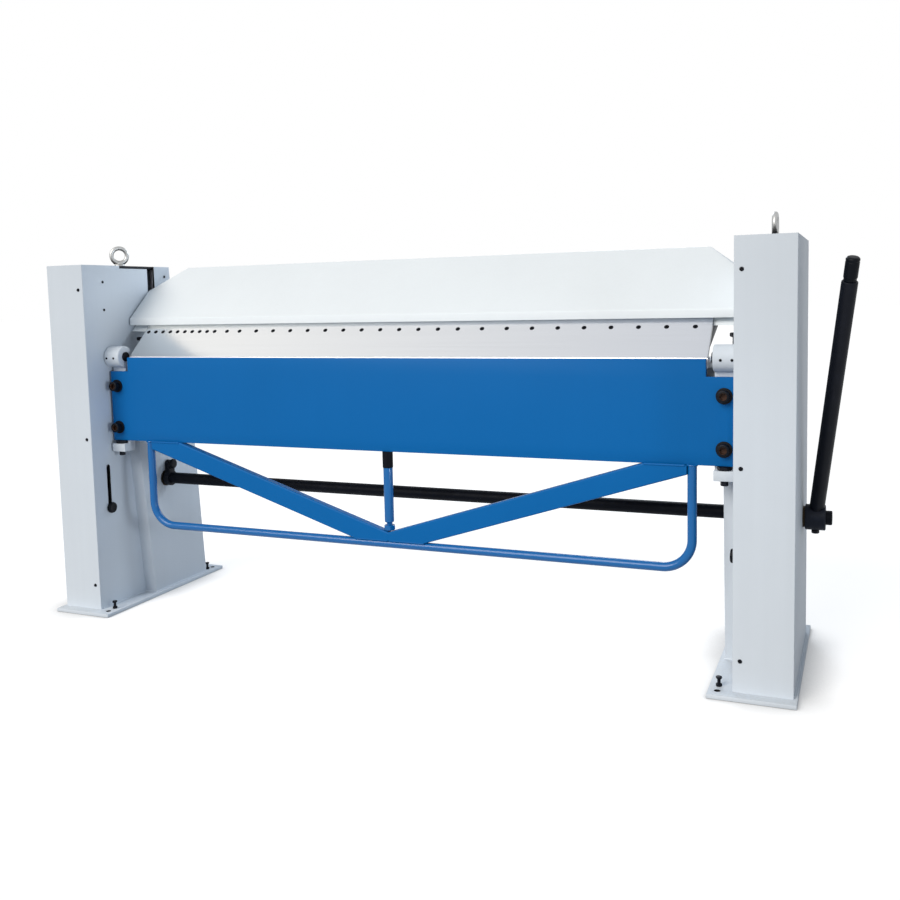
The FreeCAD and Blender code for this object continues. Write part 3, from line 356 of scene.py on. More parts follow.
def paint(tree, shader, look):
    """Sprayed paint over steel, with rubbed edges and a little dust."""
    film = use_group(tree, "paint film", Peel_Size=look.peel, Streaks=look.streaks)
    base = mixed(tree, film["Shade"], tone(look.tone, 0.955), tone(look.tone, 1.045))
    rub = use_group(tree, "edge wear", Amount=look.wear)["Mask"]
    base = mixed(tree, rub, base, tone("bare"))
    settled = use_group(tree, "dust", Amount=look.dust)["Mask"]
    base = mixed(tree, settled, base, tone("dust"))
    # Marked hole and slot walls and sawn ends turn near-black: painted shade.
    base = mixed(tree, marked_faces(tree, "inner"), base, tone("scale"))
    gloss = maths(tree, "MULTIPLY_ADD", film["Shade"], 0.10, look.rough - 0.05)
    gloss = maths(tree, "MULTIPLY_ADD", settled, 0.35, gloss, clamp=True)
    tree.links.new(maths(tree, "MULTIPLY", rub, 0.9), shader.inputs["Metallic"])
    shader.inputs["Specular IOR Level"].default_value = look.gleam
    connect(tree, shader, base, gloss, film["Height"], look.depth)


def ground_metal(tree, shader, look):
    """Machined steel with grinding lines along the machine, its tone blending from the left colour to the
    right one; on the blade this blend is a painted reflection.
    """
    lines = use_group(tree, "grinding", Fineness=1.0)
    across = axis_value(tree, position_of(tree), "X")
    along = add(tree, "ShaderNodeMapRange", {"Value": across, "From Min": -1.0, "From Max": 1.0})
    # Left-to-right blend, which on the blade is a painted reflection.
    plain = mixed(tree, along.outputs["Result"], tone(look.left), tone(look.right))
    shade = maths(tree, "MULTIPLY_ADD", lines["Shade"], 1.12 - look.darkest, look.darkest)
    # Marked sawn ends turn near-black: painted shade.
    base = mixed(tree, marked_faces(tree, "inner"), times(tree, plain, shade), tone("scale"))
    gloss = maths(tree, "MULTIPLY_ADD", lines["Shade"], -0.16, look.rough + 0.08)
    shader.inputs["Metallic"].default_value = 1.0
    connect(tree, shader, base, gloss, lines["Height"], 0.00004)


def skinned(tree, shader, look):
    """Blackened, plated or moulded surface: close pits, and rubbed patches that are lighter and smoother."""
    skin = use_group(tree, "blackened skin", Pit_Size=look.pit)
    base = mixed(tree, skin["Rub"], tone(look.tone, look.dark), tone(look.tone, look.light))
    if look.wear:
        edge = use_group(tree, "edge wear", Amount=look.wear)["Mask"]
        base = mixed(tree, maths(tree, "MULTIPLY", edge, 0.8), base, tone("bare", 0.75))
    if look.inside:
        base = mixed(tree, marked_faces(tree, "inner"), base, tone(look.inside))
    gloss = maths(tree, "MULTIPLY_ADD", skin["Rub"], look.smooth - look.rough, look.rough)
    shader.inputs["Metallic"].default_value = look.metal
    shader.inputs["Specular IOR Level"].default_value = look.gleam
    connect(tree, shader, base, gloss, skin["Height"], look.depth)


SHADERS = {Paint: paint, Ground: ground_metal, Skin: skinned}


def material(slot):
    """Material of a slot, made the first time that it is asked for."""
    if slot not in MATERIALS:
        made = bpy.data.materials.new(slot.replace("_", " "))
        made.use_nodes = True
        look = LOOKS[slot]
        SHADERS[type(look)](made.node_tree, made.node_tree.nodes["Principled BSDF"], look)
        MATERIALS[slot] = made
    return MATERIALS[slot]


def slot_of(node):
    rows = frame["record"]["subparts"]
    return next(row["material_slot"] for row in rows if row["node"] == node)


def body_of(node):
    return frame["nodes"][node]["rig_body"]


# CAD nodes

def points_of(node):
    return [vert.co for vert in frame["nodes"][node].data.vertices]


def boxed(node):
    """Middle, lowest corner and highest corner of a node."""
    low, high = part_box(node)
    return (low + high) / 2, low, high


def solids(node):
    """Middle, lowest corner and highest corner of each solid in a node, from left to right."""
    bm = bmesh.new()
    bm.from_mesh(frame["nodes"][node].data)
    bmesh.ops.remove_doubles(bm, verts=bm.verts, dist=1e-5)
    left, found = set(bm.verts), []
    while left:
        stack, members = [left.pop()], []
        while stack:
            vert = stack.pop()
            members.append(vert.co.copy())
            for edge in vert.link_edges:
                other = edge.other_vert(vert)
                if other in left:
                    left.remove(other)
                    stack.append(other)
        low, high = (Vector([pick(co[i] for co in members) for i in range(3)]) for pick in (min, max))
        found.append(((low + high) / 2, low, high))
    bm.free()
    return sorted(found, key=lambda solid: (round(solid[1].x, 4), round(solid[1].z, 4), solid[1].y))


# Mesh tools

def place(at, axis):
    """Matrix that puts a shape drawn along Z at a point, along axis."""
    return Matrix.Translation(at) @ Vector(axis).to_track_quat("Z", "Y").to_matrix().to_4x4()


def level_with(centre, z, axis=UP):
    """Matrix for a shape above or below a point."""
    return place((centre.x, centre.y, z), axis)


def new_shape(mesh=None):
    """Empty bmesh, or a copy of a mesh, with the two layers that the materials read."""
    bm = bmesh.new()
    if mesh:
        bm.from_mesh(mesh)
    for name in ("edge", "inner"):
        bm.faces.layers.float.new(name)
    return bm


def marked(bm, faces, name):
    layer = bm.faces.layers.float[name]
    for face in faces:
        face[layer] = 1.0


def mesh_from(bm, name):
    mesh = bpy.data.meshes.new(name)
    bm.to_mesh(mesh)
    bm.free()
    return mesh


def linked(name, data):
    """New object in the scene."""
    thing = bpy.data.objects.new(name, data)
    bpy.context.scene.collection.objects.link(thing)
    return thing


def finish_piece(name, bm, node, look=None):
    """Turns a bmesh into a piece on the node's body, with the material of the node's slot or of the given
    look.
    """
    bmesh.ops.recalc_face_normals(bm, faces=bm.faces)
    for face in bm.faces:
        face.smooth = True
    for edge in bm.edges:
        edge.smooth = edge.is_manifold and edge.calc_face_angle(0.0) < SHARP
    piece = linked(name, mesh_from(bm, name))
    piece.data.materials.append(material(look or slot_of(node)))
    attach(piece, body_of(node))
    return piece


def stand_in(name, bm, node, look=None):
    """Piece that takes the node's place."""
    piece = finish_piece(name, bm, node, look)
    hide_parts(node)
    return piece


def drawn(name, node, draw, look=None):
    """One piece for all solids of a node: draw(bm, centre, low, high) adds each of them."""
    bm = new_shape()
    for solid in solids(node):
        draw(bm, *solid)
    stand_in(name, bm, node, look)


def copy_of(node):
    """The node's solid as a bmesh, its flat faces whole again."""
    bm = new_shape(frame["nodes"][node].data)
    bmesh.ops.remove_doubles(bm, verts=bm.verts, dist=1e-5)
    bmesh.ops.dissolve_limit(bm, angle_limit=math.radians(0.6), verts=bm.verts, edges=bm.edges)
    return bm


def bevelled(bm, edges, width, steps=2):
    """Rounds edges off; returns the new faces."""
    return bmesh.ops.bevel(bm, geom=edges, offset=width, offset_type="OFFSET", segments=steps, profile=0.5,
                           affect="EDGES", clamp_overlap=True)["faces"]


def break_edges(bm, width, shortest):
    """Breaks the sharp edges that are long enough, and marks them for wear."""
    edges = [edge for edge in bm.edges if edge.is_manifold and edge.calc_length() > shortest
             and edge.calc_face_angle(0.0) > SHARP]
    marked(bm, bevelled(bm, edges, width), "edge")
    return bm


def eased(node, width, shortest=0.012, look=None):
    """Piece with the node's shape and broken edges."""
    stand_in(node + "_skin", break_edges(copy_of(node), width, shortest), node, look)


def sawn(node, width, look=None):
    """Long bar with broken edges; its sawn ends are marked to take the near-black colour, which is painted
    shade on the end faces.
    """
    bm = break_edges(copy_of(node), width, 0.05)
    marked(bm, [face for face in bm.faces if abs(face.normal.x) > 0.9], "inner")
    stand_in(node + "_skin", bm, node, look)


def mark_within(bm, low, high, level):
    """Marks a hole's or slot's walls, faces inside a box that don't face along the axis numbered level, so
    that they take the near-black colour that paints shade into them.
    """
    for face in bm.faces:
        centre = face.calc_center_median()
        if abs(face.normal[level]) < 0.1 and all(low[i] <= centre[i] <= high[i] for i in range(3)):
            marked(bm, [face], "inner")


def ring(bm, matrix, radius, height, steps, reach=None):
    """One ring of vertices; reach(turn, height) changes the radius with the angle."""
    if radius < 1e-7:
        return [bm.verts.new(matrix @ Vector((0, 0, height)))]
    verts = []
    for step in range(steps):
        turn = FULL_TURN * step / steps
        size = reach(turn, height) if reach else radius
        verts.append(bm.verts.new(matrix @ Vector((size * math.cos(turn), size * math.sin(turn), height))))
    return verts


def hoop(bm, centre, first, second, radius, steps):
    """One ring of vertices round a point, in the plane of two directions."""
    turns = [FULL_TURN * step / steps for step in range(steps)]
    return [bm.verts.new(centre + (first * math.cos(t) + second * math.sin(t)) * radius) for t in turns]


def bridge(bm, first, second):
    """Faces between two rings, either of which may be a single point."""
    steps = max(len(first), len(second))
    faces = []
    for i in range(steps):
        j = (i + 1) % steps
        corners = [first[i % len(first)], first[j % len(first)], second[j % len(second)],
                   second[i % len(second)]]
        faces.append(bm.faces.new(list(dict.fromkeys(corners))))
    return faces


def loft(bm, rings, closed=False, capped=False):
    """Skin over a row of rings; closed joins the last to the first, capped fills both ends."""
    following = rings[1:] + (rings[:1] if closed else [])
    for pair in zip(rings, following):
        bridge(bm, *pair)
    for end in (rings[0], rings[-1]) if capped else ():
        bm.faces.new(end)


def softened(profile, radius, steps=3):
    """Rounds the inner corners of an open outline."""
    points = [Vector(p) for p in profile]
    out = [points[0]]
    for before, corner, after in zip(points, points[1:], points[2:]):
        near, far = before - corner, after - corner
        reach = min(radius, near.length * 0.45, far.length * 0.45)
        start, end = corner + near.normalized() * reach, corner + far.normalized() * reach
        for i in range(steps + 1):
            t = i / steps
            out.append(start * (1 - t) ** 2 + corner * 2 * t * (1 - t) + end * t ** 2)
    return [tuple(p) for p in out + [points[-1]]]


def lathe(bm, matrix, profile):
    """Turned shape from (radius, height) pairs."""
    steps = bpy.context.scene.folder_detail.turn_steps
    loft(bm, [ring(bm, matrix, radius, height, steps) for radius, height in profile])


def turned_bar(bm, matrix, radius, height, edge=0.0012):
    """Round bar with rounded rims."""
    lathe(bm, matrix, softened([(0, 0), (radius, 0), (radius, height), (0, height)], edge))


def hexagon(half):
    """Distance from a hexagon's middle to its outline, by angle; half is half its width across flats."""
    return lambda turn, _=0: half / math.cos((turn % (math.pi / 3)) - math.pi / 6)


def hex_head(bm, matrix, flats, height, bore=0.0, washer=True):
    """Hexagon head or nut whose corners are turned off; a bore (its radius) makes it a nut."""
    steps, half, lean = 72, flats / 2, math.tan(math.radians(60))
    outline, chamfer, collar = hexagon(half), half * 0.97, half * 0.94

    def side_ring(level, sign):
        verts = []
        for step in range(steps):
            turn = FULL_TURN * step / steps
            size = outline(turn)
            at = level + sign * (size - chamfer) / lean
            verts.append(bm.verts.new(matrix @ Vector((size * math.cos(turn), size * math.sin(turn), at))))
        return verts

    base = height * 0.06 if washer else 0.0
    rings = [ring(bm, matrix, bore, 0.0, steps)]
    if washer:
        rings += [ring(bm, matrix, collar, 0.0, steps), ring(bm, matrix, collar, base, steps)]
    rings += [ring(bm, matrix, chamfer, base, steps), side_ring(base, 1), side_ring(height, -1),
              ring(bm, matrix, chamfer, height, steps), ring(bm, matrix, bore, height, steps)]
    loft(bm, rings, closed=bore > 0)


# Threads, drawn 0.1 mm under size, and the width across flats of their nuts and heads
Thread = namedtuple("Thread", "radius pitch flats")
M10 = Thread(radius=0.0049, pitch=0.0015, flats=0.015)
M20 = Thread(radius=0.0099, pitch=0.0025, flats=0.030)
M24 = Thread(radius=0.0119, pitch=0.0030, flats=0.036)


def threaded(bm, matrix, thread, height, steps=32):
    """Stud with a screw thread."""
    depth = 0.6 * thread.pitch
    core = thread.radius - depth
    rows = max(2, round(height / thread.pitch * 4))

    def reach(turn, level):
        phase = (level / thread.pitch - turn / FULL_TURN) % 1.0
        return thread.radius - depth * abs(2 * phase - 1)

    rings = [ring(bm, matrix, 0.0, 0.0, steps), ring(bm, matrix, core, 0.0, steps)]
    rings += [ring(bm, matrix, thread.radius, height * (i + 0.5) / rows, steps, reach) for i in range(rows)]
    rings += [ring(bm, matrix, core, height, steps), ring(bm, matrix, 0.0, height, steps)]
    loft(bm, rings)


# A socket screw's head and socket, and the radius and length of its shank
Screw = namedtuple("Screw", "radius height flats depth shank reach", defaults=(None,))
COVER_SCREW = Screw(radius=0.006, height=0.003, flats=0.004, depth=0.0022, shank=0.0029, reach=0.013)
WALL_SCREW = Screw(radius=0.005, height=0.0025, flats=0.0034, depth=0.0018, shank=0.0024, reach=0.0078)
HUB_SCREW = Screw(radius=0.004, height=0.008, flats=0.004, depth=0.003, shank=0.0038, reach=0.008)
BLADE_SCREW = Screw(radius=0.0075, height=0.005, flats=0.006, depth=0.004, shank=0.0044, reach=0.024)
APRON_BOLT = Screw(radius=0.017, height=0.022, flats=0.017, depth=0.011, shank=M20.radius)


def socket_recess(bm, matrix, face_radius, size):
    """Flat face of a screw head with a hexagon socket in it; returns its rim and the socket's faces."""
    steps, half = 48, size.flats / 2
    rim = ring(bm, matrix, face_radius, 0.0, steps)
    lead = ring(bm, matrix, half * 1.22, 0.0, steps)
    mouth = ring(bm, matrix, half, -size.depth * 0.12, steps, hexagon(half))
    floor = ring(bm, matrix, half, -size.depth, steps, hexagon(half))
    point = ring(bm, matrix, 0.0, -size.depth * 1.12, steps)
    bridge(bm, rim, lead)
    return rim, bridge(bm, lead, mouth) + bridge(bm, mouth, floor) + bridge(bm, floor, point)


def socket_head(bm, seat, axis, size, dome=False, flutes=0):
    """Socket screw head standing on its seat; a fluted one has the socket's faces marked."""
    matrix, steps = place(seat, axis), 48
    radius, height = size.radius, size.height
    edge = min(radius * 0.12, height * 0.3)

    def fluted(turn, _):
        return radius * (1 - 0.012 * (1 + math.cos(flutes * turn)) * (flutes > 0))

    rings = [ring(bm, matrix, 0.0, 0.0, steps), ring(bm, matrix, radius - edge * 0.4, 0.0, steps),
             ring(bm, matrix, radius, edge * 0.4, steps, fluted)]
    if dome:
        rings += [ring(bm, matrix, radius * 0.93, height * 0.55, steps),
                  ring(bm, matrix, radius * 0.78, height * 0.9, steps)]
        top = radius * 0.62
    else:
        rings += [ring(bm, matrix, radius, height - edge, steps, fluted),
                  ring(bm, matrix, radius - edge * 0.3, height - edge * 0.3, steps)]
        top = radius - edge
    face = Vector(seat) + Vector(axis).normalized() * height
    rim, socket = socket_recess(bm, place(face, axis), top, size)
    if flutes:
        marked(bm, socket, "inner")
    loft(bm, rings + [rim])


def socket_screw(bm, seat, axis, size, dome=False):
    """Socket screw: its head stands on the seat along axis, its shank goes the other way."""
    socket_head(bm, seat, axis, size, dome)
    turned_bar(bm, place(seat, -axis), size.shank, size.reach)


def bead(bm, path, radius, closed=False):
    """Weld bead with ripples along a path of points."""
    points = [Vector(p) for p in path]
    if closed:
        points.append(points[0])
    dense = []
    for start, end in zip(points, points[1:]):
        count = max(1, round((end - start).length / (radius * 0.55)))
        dense += [start.lerp(end, i / count) for i in range(count)]
    dense.append(points[-1])
    rings = []
    for i, point in enumerate(dense):
        ahead = dense[min(i + 1, len(dense) - 1)] - dense[max(i - 1, 0)]
        size = radius * (1.0 + 0.10 * math.cos(i * 1.9) + 0.05 * math.sin(i * 0.71))
        if i in (0, len(dense) - 1):
            size *= 0.55
        rings.append(ring(bm, place(point, ahead), size, 0.0, 10))
    loft(bm, rings, capped=True)


def swept(bm, path, radius, steps=32):
    """Round tube along a path of points in an upright plane across the machine, its ends closed."""
    points = [Vector(p) for p in path]
    rings = []
    for i, point in enumerate(points):
        ahead = (points[min(i + 1, len(points) - 1)] - points[max(i - 1, 0)]).normalized()
        rings.append(hoop(bm, point, BACKWARDS, BACKWARDS.cross(ahead).normalized(), radius, steps))
    loft(bm, rings, capped=True)


# Operators

class Build:
    """What every operator shares."""

    bl_options = {"REGISTER", "UNDO"}

    def execute(self, context):
        self.build(context.scene.folder_detail)
        return {"FINISHED"}


class FOLDER_OT_bearings(Build, bpy.types.Operator):
    """Give every CAD part its finish, and so the bushes and drive pins, which stay as they are"""

    bl_idname = "folder.bearings"
    bl_label = "Bearings and Pins"

    def build(self, detail):
        for node, part in frame["nodes"].items():
            part.data.materials.clear()
            part.data.materials.append(material(slot_of(node)))


class FOLDER_OT_columns(Build, bpy.types.Operator):
    """Build the columns' plates with broken edges, and their weld beads"""

    bl_idname = "folder.columns"
    bl_label = "Columns"

    def build(self, detail):
        for side in SIDES:
            self.base_plate("base_plate_" + side, detail.plate_edge)
            self.inner_wall(side, detail.wall_edge)
            for part in ("step_box_", "outer_wall_", "back_cover_", "top_plate_"):
                eased(part + side, detail.wall_edge, 0.02)
            self.cover("front_cover_" + side, detail)
            self.welds(side, detail.bead)

    def base_plate(self, node, edge):
        """Plate whose anchor holes are near-black inside: painted shade in the holes."""
        bm = break_edges(copy_of(node), edge, 0.012)
        low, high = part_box(node)
        from_side, from_end, hole = 0.026, 0.034, Vector((0.012, 0.012, 1))
        for x in (low.x + from_side, high.x - from_side):
            for y in (low.y + from_end, high.y - from_end):
                middle = Vector((x, y, low.z))
                mark_within(bm, middle - hole, middle + hole, 2)
        stand_in(node + "_skin", bm, node)

    def inner_wall(self, side, edge):
        """Wall whose slots are near-black inside: painted shade in the slots."""
        node = "inner_wall_" + side
        bm = break_edges(copy_of(node), edge, 0.02)
        knob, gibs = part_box("slide_knob_" + side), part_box("guide_gibs")
        travel, top = 0.18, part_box(node)[1].z + 0.001
        mark_within(bm, (-2, knob[0].y, knob[0].z - 0.01), (2, knob[1].y, knob[1].z + travel), 0)
        mark_within(bm, (-2, gibs[0].y + 0.012, gibs[0].z - 0.02), (2, gibs[1].y - 0.012, top), 0)
        stand_in(node + "_skin", bm, node)

    def cover(self, node, detail):
        """Folded sheet: its two upright front corners are bent, its other edges cut."""
        bm = copy_of(node)
        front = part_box(node)[0].y + 1e-4
        folds = [edge for edge in bm.edges if edge.calc_length() > 1.0 and
                 all(vert.co.y < front for vert in edge.verts)]
        bevelled(bm, folds, detail.fold, 5)
        stand_in(node + "_skin", break_edges(bm, detail.sheet_edge, 0.02), node)

    def welds(self, side, radius):
        """Beads where the column stands on its base plate."""
        outwards, near, far = (1, 0, 1) if side == "right" else (-1, 1, 0)
        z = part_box("base_plate_" + side)[1].z + radius * 0.3
        wall, step, outer = (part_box(part + side) for part in ("inner_wall_", "step_box_", "outer_wall_"))
        inner_x, step_x, outer_x = wall[near].x, step[near].x, outer[far].x
        front, back = self.step_front("step_box_" + side), outer[1].y
        bm = new_shape()
        bead(bm, [(inner_x, wall[0].y + 0.01, z), (inner_x, front, z), (step_x, front, z),
                  (step_x, back - 0.004, z)], radius)
        bead(bm, [(outer_x, outer[0].y + 0.01, z), (outer_x, back, z), (step_x + outwards * 0.01, back, z)],
             radius)
        finish_piece("column_welds_" + side, bm, "base_plate_" + side)

    def step_front(self, node):
        """Front of the column's step where it meets the base plate."""
        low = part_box(node)[0].z
        return min(co.y for co in points_of(node) if co.z < low + 0.001)


class FOLDER_OT_cover_screws(Build, bpy.types.Operator):
    """Build the button-head screws of the covers and the small screws of the inner walls"""

    bl_idname = "folder.cover_screws"
    bl_label = "Cover Screws"

    def build(self, detail):
        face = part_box("front_cover_left")[0].y

        def cover_screw(bm, centre, low, high):
            socket_screw(bm, (centre.x, face, centre.z), FORWARDS, COVER_SCREW, dome=True)

        drawn("cover_screw_set", "cover_screws", cover_screw, "socket_screw")
        drawn("wall_screw_set", "wall_screws", self.wall_screw, "socket_screw")

    def wall_screw(self, bm, centre, low, high):
        head = WALL_SCREW.height
        base, inwards = (high.x - head, RIGHT) if centre.x < 0 else (low.x + head, LEFT)
        socket_screw(bm, (base, centre.y, centre.z), inwards, WALL_SCREW, dome=True)


class FOLDER_OT_eyes(Build, bpy.types.Operator):
    """Build the forged lifting eyes"""

    bl_idname = "folder.eyes"
    bl_label = "Lifting Eyes"

    def build(self, detail):
        bm = new_shape()
        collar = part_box("top_plate_left")[1].z
        for centre, low, high in solids("eye_bolts"):
            self.eye(bm, centre, collar, high.z)
        rough = linked("eye_shape", mesh_from(bm, "eye_shape"))
        remesh = rough.modifiers.new("forge", "REMESH")
        remesh.mode, remesh.voxel_size = "VOXEL", 0.0011
        smooth = rough.modifiers.new("soften", "SMOOTH")
        smooth.iterations, smooth.factor = 7, 0.5
        shaped = bpy.data.meshes.new_from_object(rough.evaluated_get(bpy.context.evaluated_depsgraph_get()))
        bpy.data.objects.remove(rough)
        stand_in("lifting_eyes", new_shape(shaped), "eye_bolts")

    def eye(self, bm, centre, collar, top):
        """Collar, shank and ring; the ring's plane follows the CAD solid's spread."""
        middle_radius, wire, steps = 0.028, 0.008, 64
        level = top - middle_radius - wire
        profile = [(0, 0), (0.019, 0), (0.019, 0.0075), (0.013, 0.0095), (0.0105, 0.014), (0, 0.014)]
        lathe(bm, level_with(centre, collar), softened(profile, 0.0012))
        turned_bar(bm, level_with(centre, collar - 0.03), M20.radius, 0.031)
        across = self.ring_direction(centre, level)
        rings = []
        for step in range(steps):
            turn = FULL_TURN * step / steps
            outwards = across * math.cos(turn) + UP * math.sin(turn)
            at = Vector((centre.x, centre.y, level)) + outwards * middle_radius
            swell = 1 + 0.22 * max(0.0, -math.sin(turn)) ** 3
            rings.append(hoop(bm, at, outwards, across.cross(UP), wire * swell, 20))
        loft(bm, rings, closed=True)

    def ring_direction(self, centre, level):
        """Level direction from an eye's middle to the outermost point of its CAD ring."""
        reach = []
        for co in points_of("eye_bolts"):
            across = Vector((co.x - centre.x, co.y - centre.y, 0))
            if across.length < 0.06 and abs(co.z - level) < 0.01:
                reach.append(across)
        return max(reach, key=lambda across: across.length).normalized()


class FOLDER_OT_levelling(Build, bpy.types.Operator):
    """Build the levelling bolts and their nuts"""

    bl_idname = "folder.levelling"
    bl_label = "Levelling Bolts"

    def build(self, detail):
        drawn("levelling_bolt_set", "levelling_bolts", self.bolt)
        drawn("levelling_nut_set", "levelling_nuts", self.nut)

    def bolt(self, bm, centre, low, high):
        head = 0.0063
        threaded(bm, level_with(centre, low.z), M10, high.z - head - low.z, 24)
        hex_head(bm, level_with(centre, high.z - head), M10.flats, head)

    def nut(self, bm, centre, low, high):
        hex_head(bm, level_with(centre, low.z), M10.flats, high.z - low.z, bore=0.005)


class FOLDER_OT_hinges(Build, bpy.types.Operator):
    """Build the hinge arms with their welds, grub screws and pins"""

    bl_idname = "folder.hinges"
    bl_label = "Hinge Arms"

    def build(self, detail):
        for side in SIDES:
            self.arm("hinge_arm_" + side, detail)
        drawn("hub_screw_set", "hub_screws", self.hub_screw, "socket_screw")
        drawn("hinge_pin_pair", "hinge_pins", self.pin)

    def arm(self, node, detail):
        """Arm with a bead where its hub is welded on."""
        bm = break_edges(copy_of(node), detail.plate_edge, 0.02)
        low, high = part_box(node)
        arm = [co.x for co in points_of(node) if co.z < low.z + 0.05]
        inset, y, z = 0.002, high.y - 0.0002, high.z - 0.062
        bead(bm, [(min(arm) + inset, y, z), (max(arm) - inset, y, z)], detail.bead)
        skin = stand_in(node + "_skin", bm, node, "column_paint")

    def hub_screw(self, bm, centre, low, high):
        socket_screw(bm, (centre.x, low.y + HUB_SCREW.height, centre.z), FORWARDS, HUB_SCREW)

    def pin(self, bm, centre, low, high):
        """Pin with a wide head at the column's end."""
        pin_radius, head_radius = 0.0169, 0.0339
        reach = high.x - low.x
        neck = reach - 0.010
        start, axis = (high.x, LEFT) if centre.x < 0 else (low.x, RIGHT)
        profile = [(0, 0.004), (0.003, 0), (0.0152, 0), (pin_radius, 0.0018), (pin_radius, neck),
                   (head_radius, neck), (head_radius, reach), (0, reach)]
        lathe(bm, place((start, centre.y, centre.z), axis), profile)


class FOLDER_OT_apron(Build, bpy.types.Operator):
    """Build the apron's plate, its big socket bolts and their washers"""

    bl_idname = "folder.apron"
    bl_label = "Apron"

    def build(self, detail):
        eased("apron_plate", detail.apron_edge)
        drawn("apron_bolt_set", "apron_bolts", self.bolt, "socket_screw")

    def bolt(self, bm, centre, low, high):
        """Fluted bolt on a washer that lies on the apron."""
        washer_radius, washer_height = 0.023, 0.004
        face = Vector((centre.x, low.y + washer_height + APRON_BOLT.height, centre.z))
        turned_bar(bm, place(face, FORWARDS), washer_radius, washer_height, edge=0.0008)
        socket_head(bm, face + FORWARDS * washer_height, FORWARDS, APRON_BOLT, flutes=36)
        turned_bar(bm, place(face, BACKWARDS), APRON_BOLT.shank, high.y - face.y)


class FOLDER_OT_adjusters(Build, bpy.types.Operator):
    """Build the adjusting screws of the apron and the stop screws of the beam"""

    bl_idname = "folder.adjusters"
    bl_label = "Adjusting Screws"

    def build(self, detail):
        drawn("adjusting_screw_set", "adjusting_screws", self.screw)
        drawn("adjusting_nut_set", "adjusting_nuts", self.nut)
        drawn("stop_screw_set", "beam_stop_screws", self.stop_screw)

    def screw(self, bm, centre, low, high):
        """Thread with a narrower hexagon at its lower end."""
        flats, head = 0.019, 0.012
        neck = low.z + head
        hex_head(bm, level_with(centre, neck, DOWN), flats, head, washer=False)
        threaded(bm, level_with(centre, neck), M24, high.z - neck)

    def nut(self, bm, centre, low, high):
        hex_head(bm, level_with(centre, low.z), M24.flats, high.z - low.z, bore=0.012)

    def stop_screw(self, bm, centre, low, high):
        """Screw that stands head up, with a nut at its foot."""
        head, nut = 0.0126, 0.016
        threaded(bm, level_with(centre, low.z), M20, high.z - low.z - head)
        hex_head(bm, level_with(centre, high.z - head), M20.flats, head)
        hex_head(bm, level_with(centre, low.z), M20.flats, nut, bore=M20.radius)


class FOLDER_OT_handle(Build, bpy.types.Operator):
    """Build the bent handle tube, the braces and their welds"""

    bl_idname = "folder.handle"
    bl_label = "Handle"

    def build(self, detail):
        centre, low, high = boxed("handle_tube")
        radius, bend, steps = (high.y - low.y) / 2, 0.085, 16
        left, right, foot, top, y = low.x + radius, high.x - radius, low.z + radius, high.z, centre.y
        path = [(left, y, top)]
        for x, first in ((left + bend, 180), (right - bend, 270)):
            for step in range(steps + 1):
                turn = math.radians(first + 90 * step / steps)
                path.append((x + bend * math.cos(turn), y, foot + bend + bend * math.sin(turn)))
        path.append((right, y, top))
        bm = new_shape()
        swept(bm, path, radius)
        for x in (left, right):
            circle = [(x + radius * math.cos(t), y + radius * math.sin(t) * 0.92, top - 0.001)
                      for t in (FULL_TURN * i / 24 for i in range(24))]
            bead(bm, circle, detail.bead * 0.9, closed=True)
        stand_in("handle_tube_bent", bm, "handle_tube", "handle_paint")
        for side in SIDES:
            self.brace("brace_" + side, y, foot + radius, top, detail.bead)

    def brace(self, node, y, tube_top, top, radius):
        """Brace with beads where it meets the apron and the tube."""
        bm = copy_of(node)
        low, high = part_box(node)
        upper = [co.x for co in points_of(node) if co.z > high.z - 0.001]
        lower = [co.x for co in points_of(node) if co.z < low.z + 0.001]
        for depth in (low.y, high.y):
            inset = radius * 0.2 if depth < y else -radius * 0.2
            for end, level, inwards, size in ((upper, top, inset, radius),
                                              (lower, tube_top, inset * 3, radius * 0.8)):
                line = [(x, depth + inwards, level - 0.001) for x in (min(end) + 0.004, max(end) - 0.004)]
                bead(bm, line, size)
        stand_in(node + "_skin", bm, node)


class FOLDER_OT_centre_rod(Build, bpy.types.Operator):
    """Build the upright rod between apron and braces, its socket and its nut"""

    bl_idname = "folder.centre_rod"
    bl_label = "Centre Rod"

    def build(self, detail):
        centre, low, high = boxed("centre_rod")
        (_, nut_low, nut_high), (_, socket_low, socket_high) = sorted(
            solids("rod_end_nuts"), key=lambda solid: solid[1].z)
        sleeve, flats = nut_high.z + 0.010, 0.034
        bm = new_shape()
        threaded(bm, level_with(centre, low.z), M20, sleeve - low.z + 0.002)
        turned_bar(bm, level_with(centre, sleeve), (high.x - low.x) / 2, high.z - sleeve, edge=0.003)
        stand_in("centre_rod_turned", bm, "centre_rod", "handle_paint")
        bm = new_shape()
        hex_head(bm, level_with(centre, nut_low.z), flats, nut_high.z - nut_low.z, bore=0.010)
        painted = stand_in("rod_nut_painted", bm, "rod_end_nuts", "handle_paint")
        bm = new_shape()
        outside, height = (socket_high.x - socket_low.x) / 2, socket_high.z - socket_low.z
        turned_bar(bm, level_with(centre, socket_low.z), outside, height, edge=0.001)
        stand_in("rod_socket_turned", bm, "rod_end_nuts", "oiled_black")


class FOLDER_OT_beam(Build, bpy.types.Operator):
    """Build the folded upper beam and the bar that seats the blade"""

    bl_idname = "folder.beam"
    bl_label = "Upper Beam"

    def build(self, detail):
        eased("beam_shell", detail.plate_edge, 0.05)
        sawn("blade_seat", detail.plate_edge)


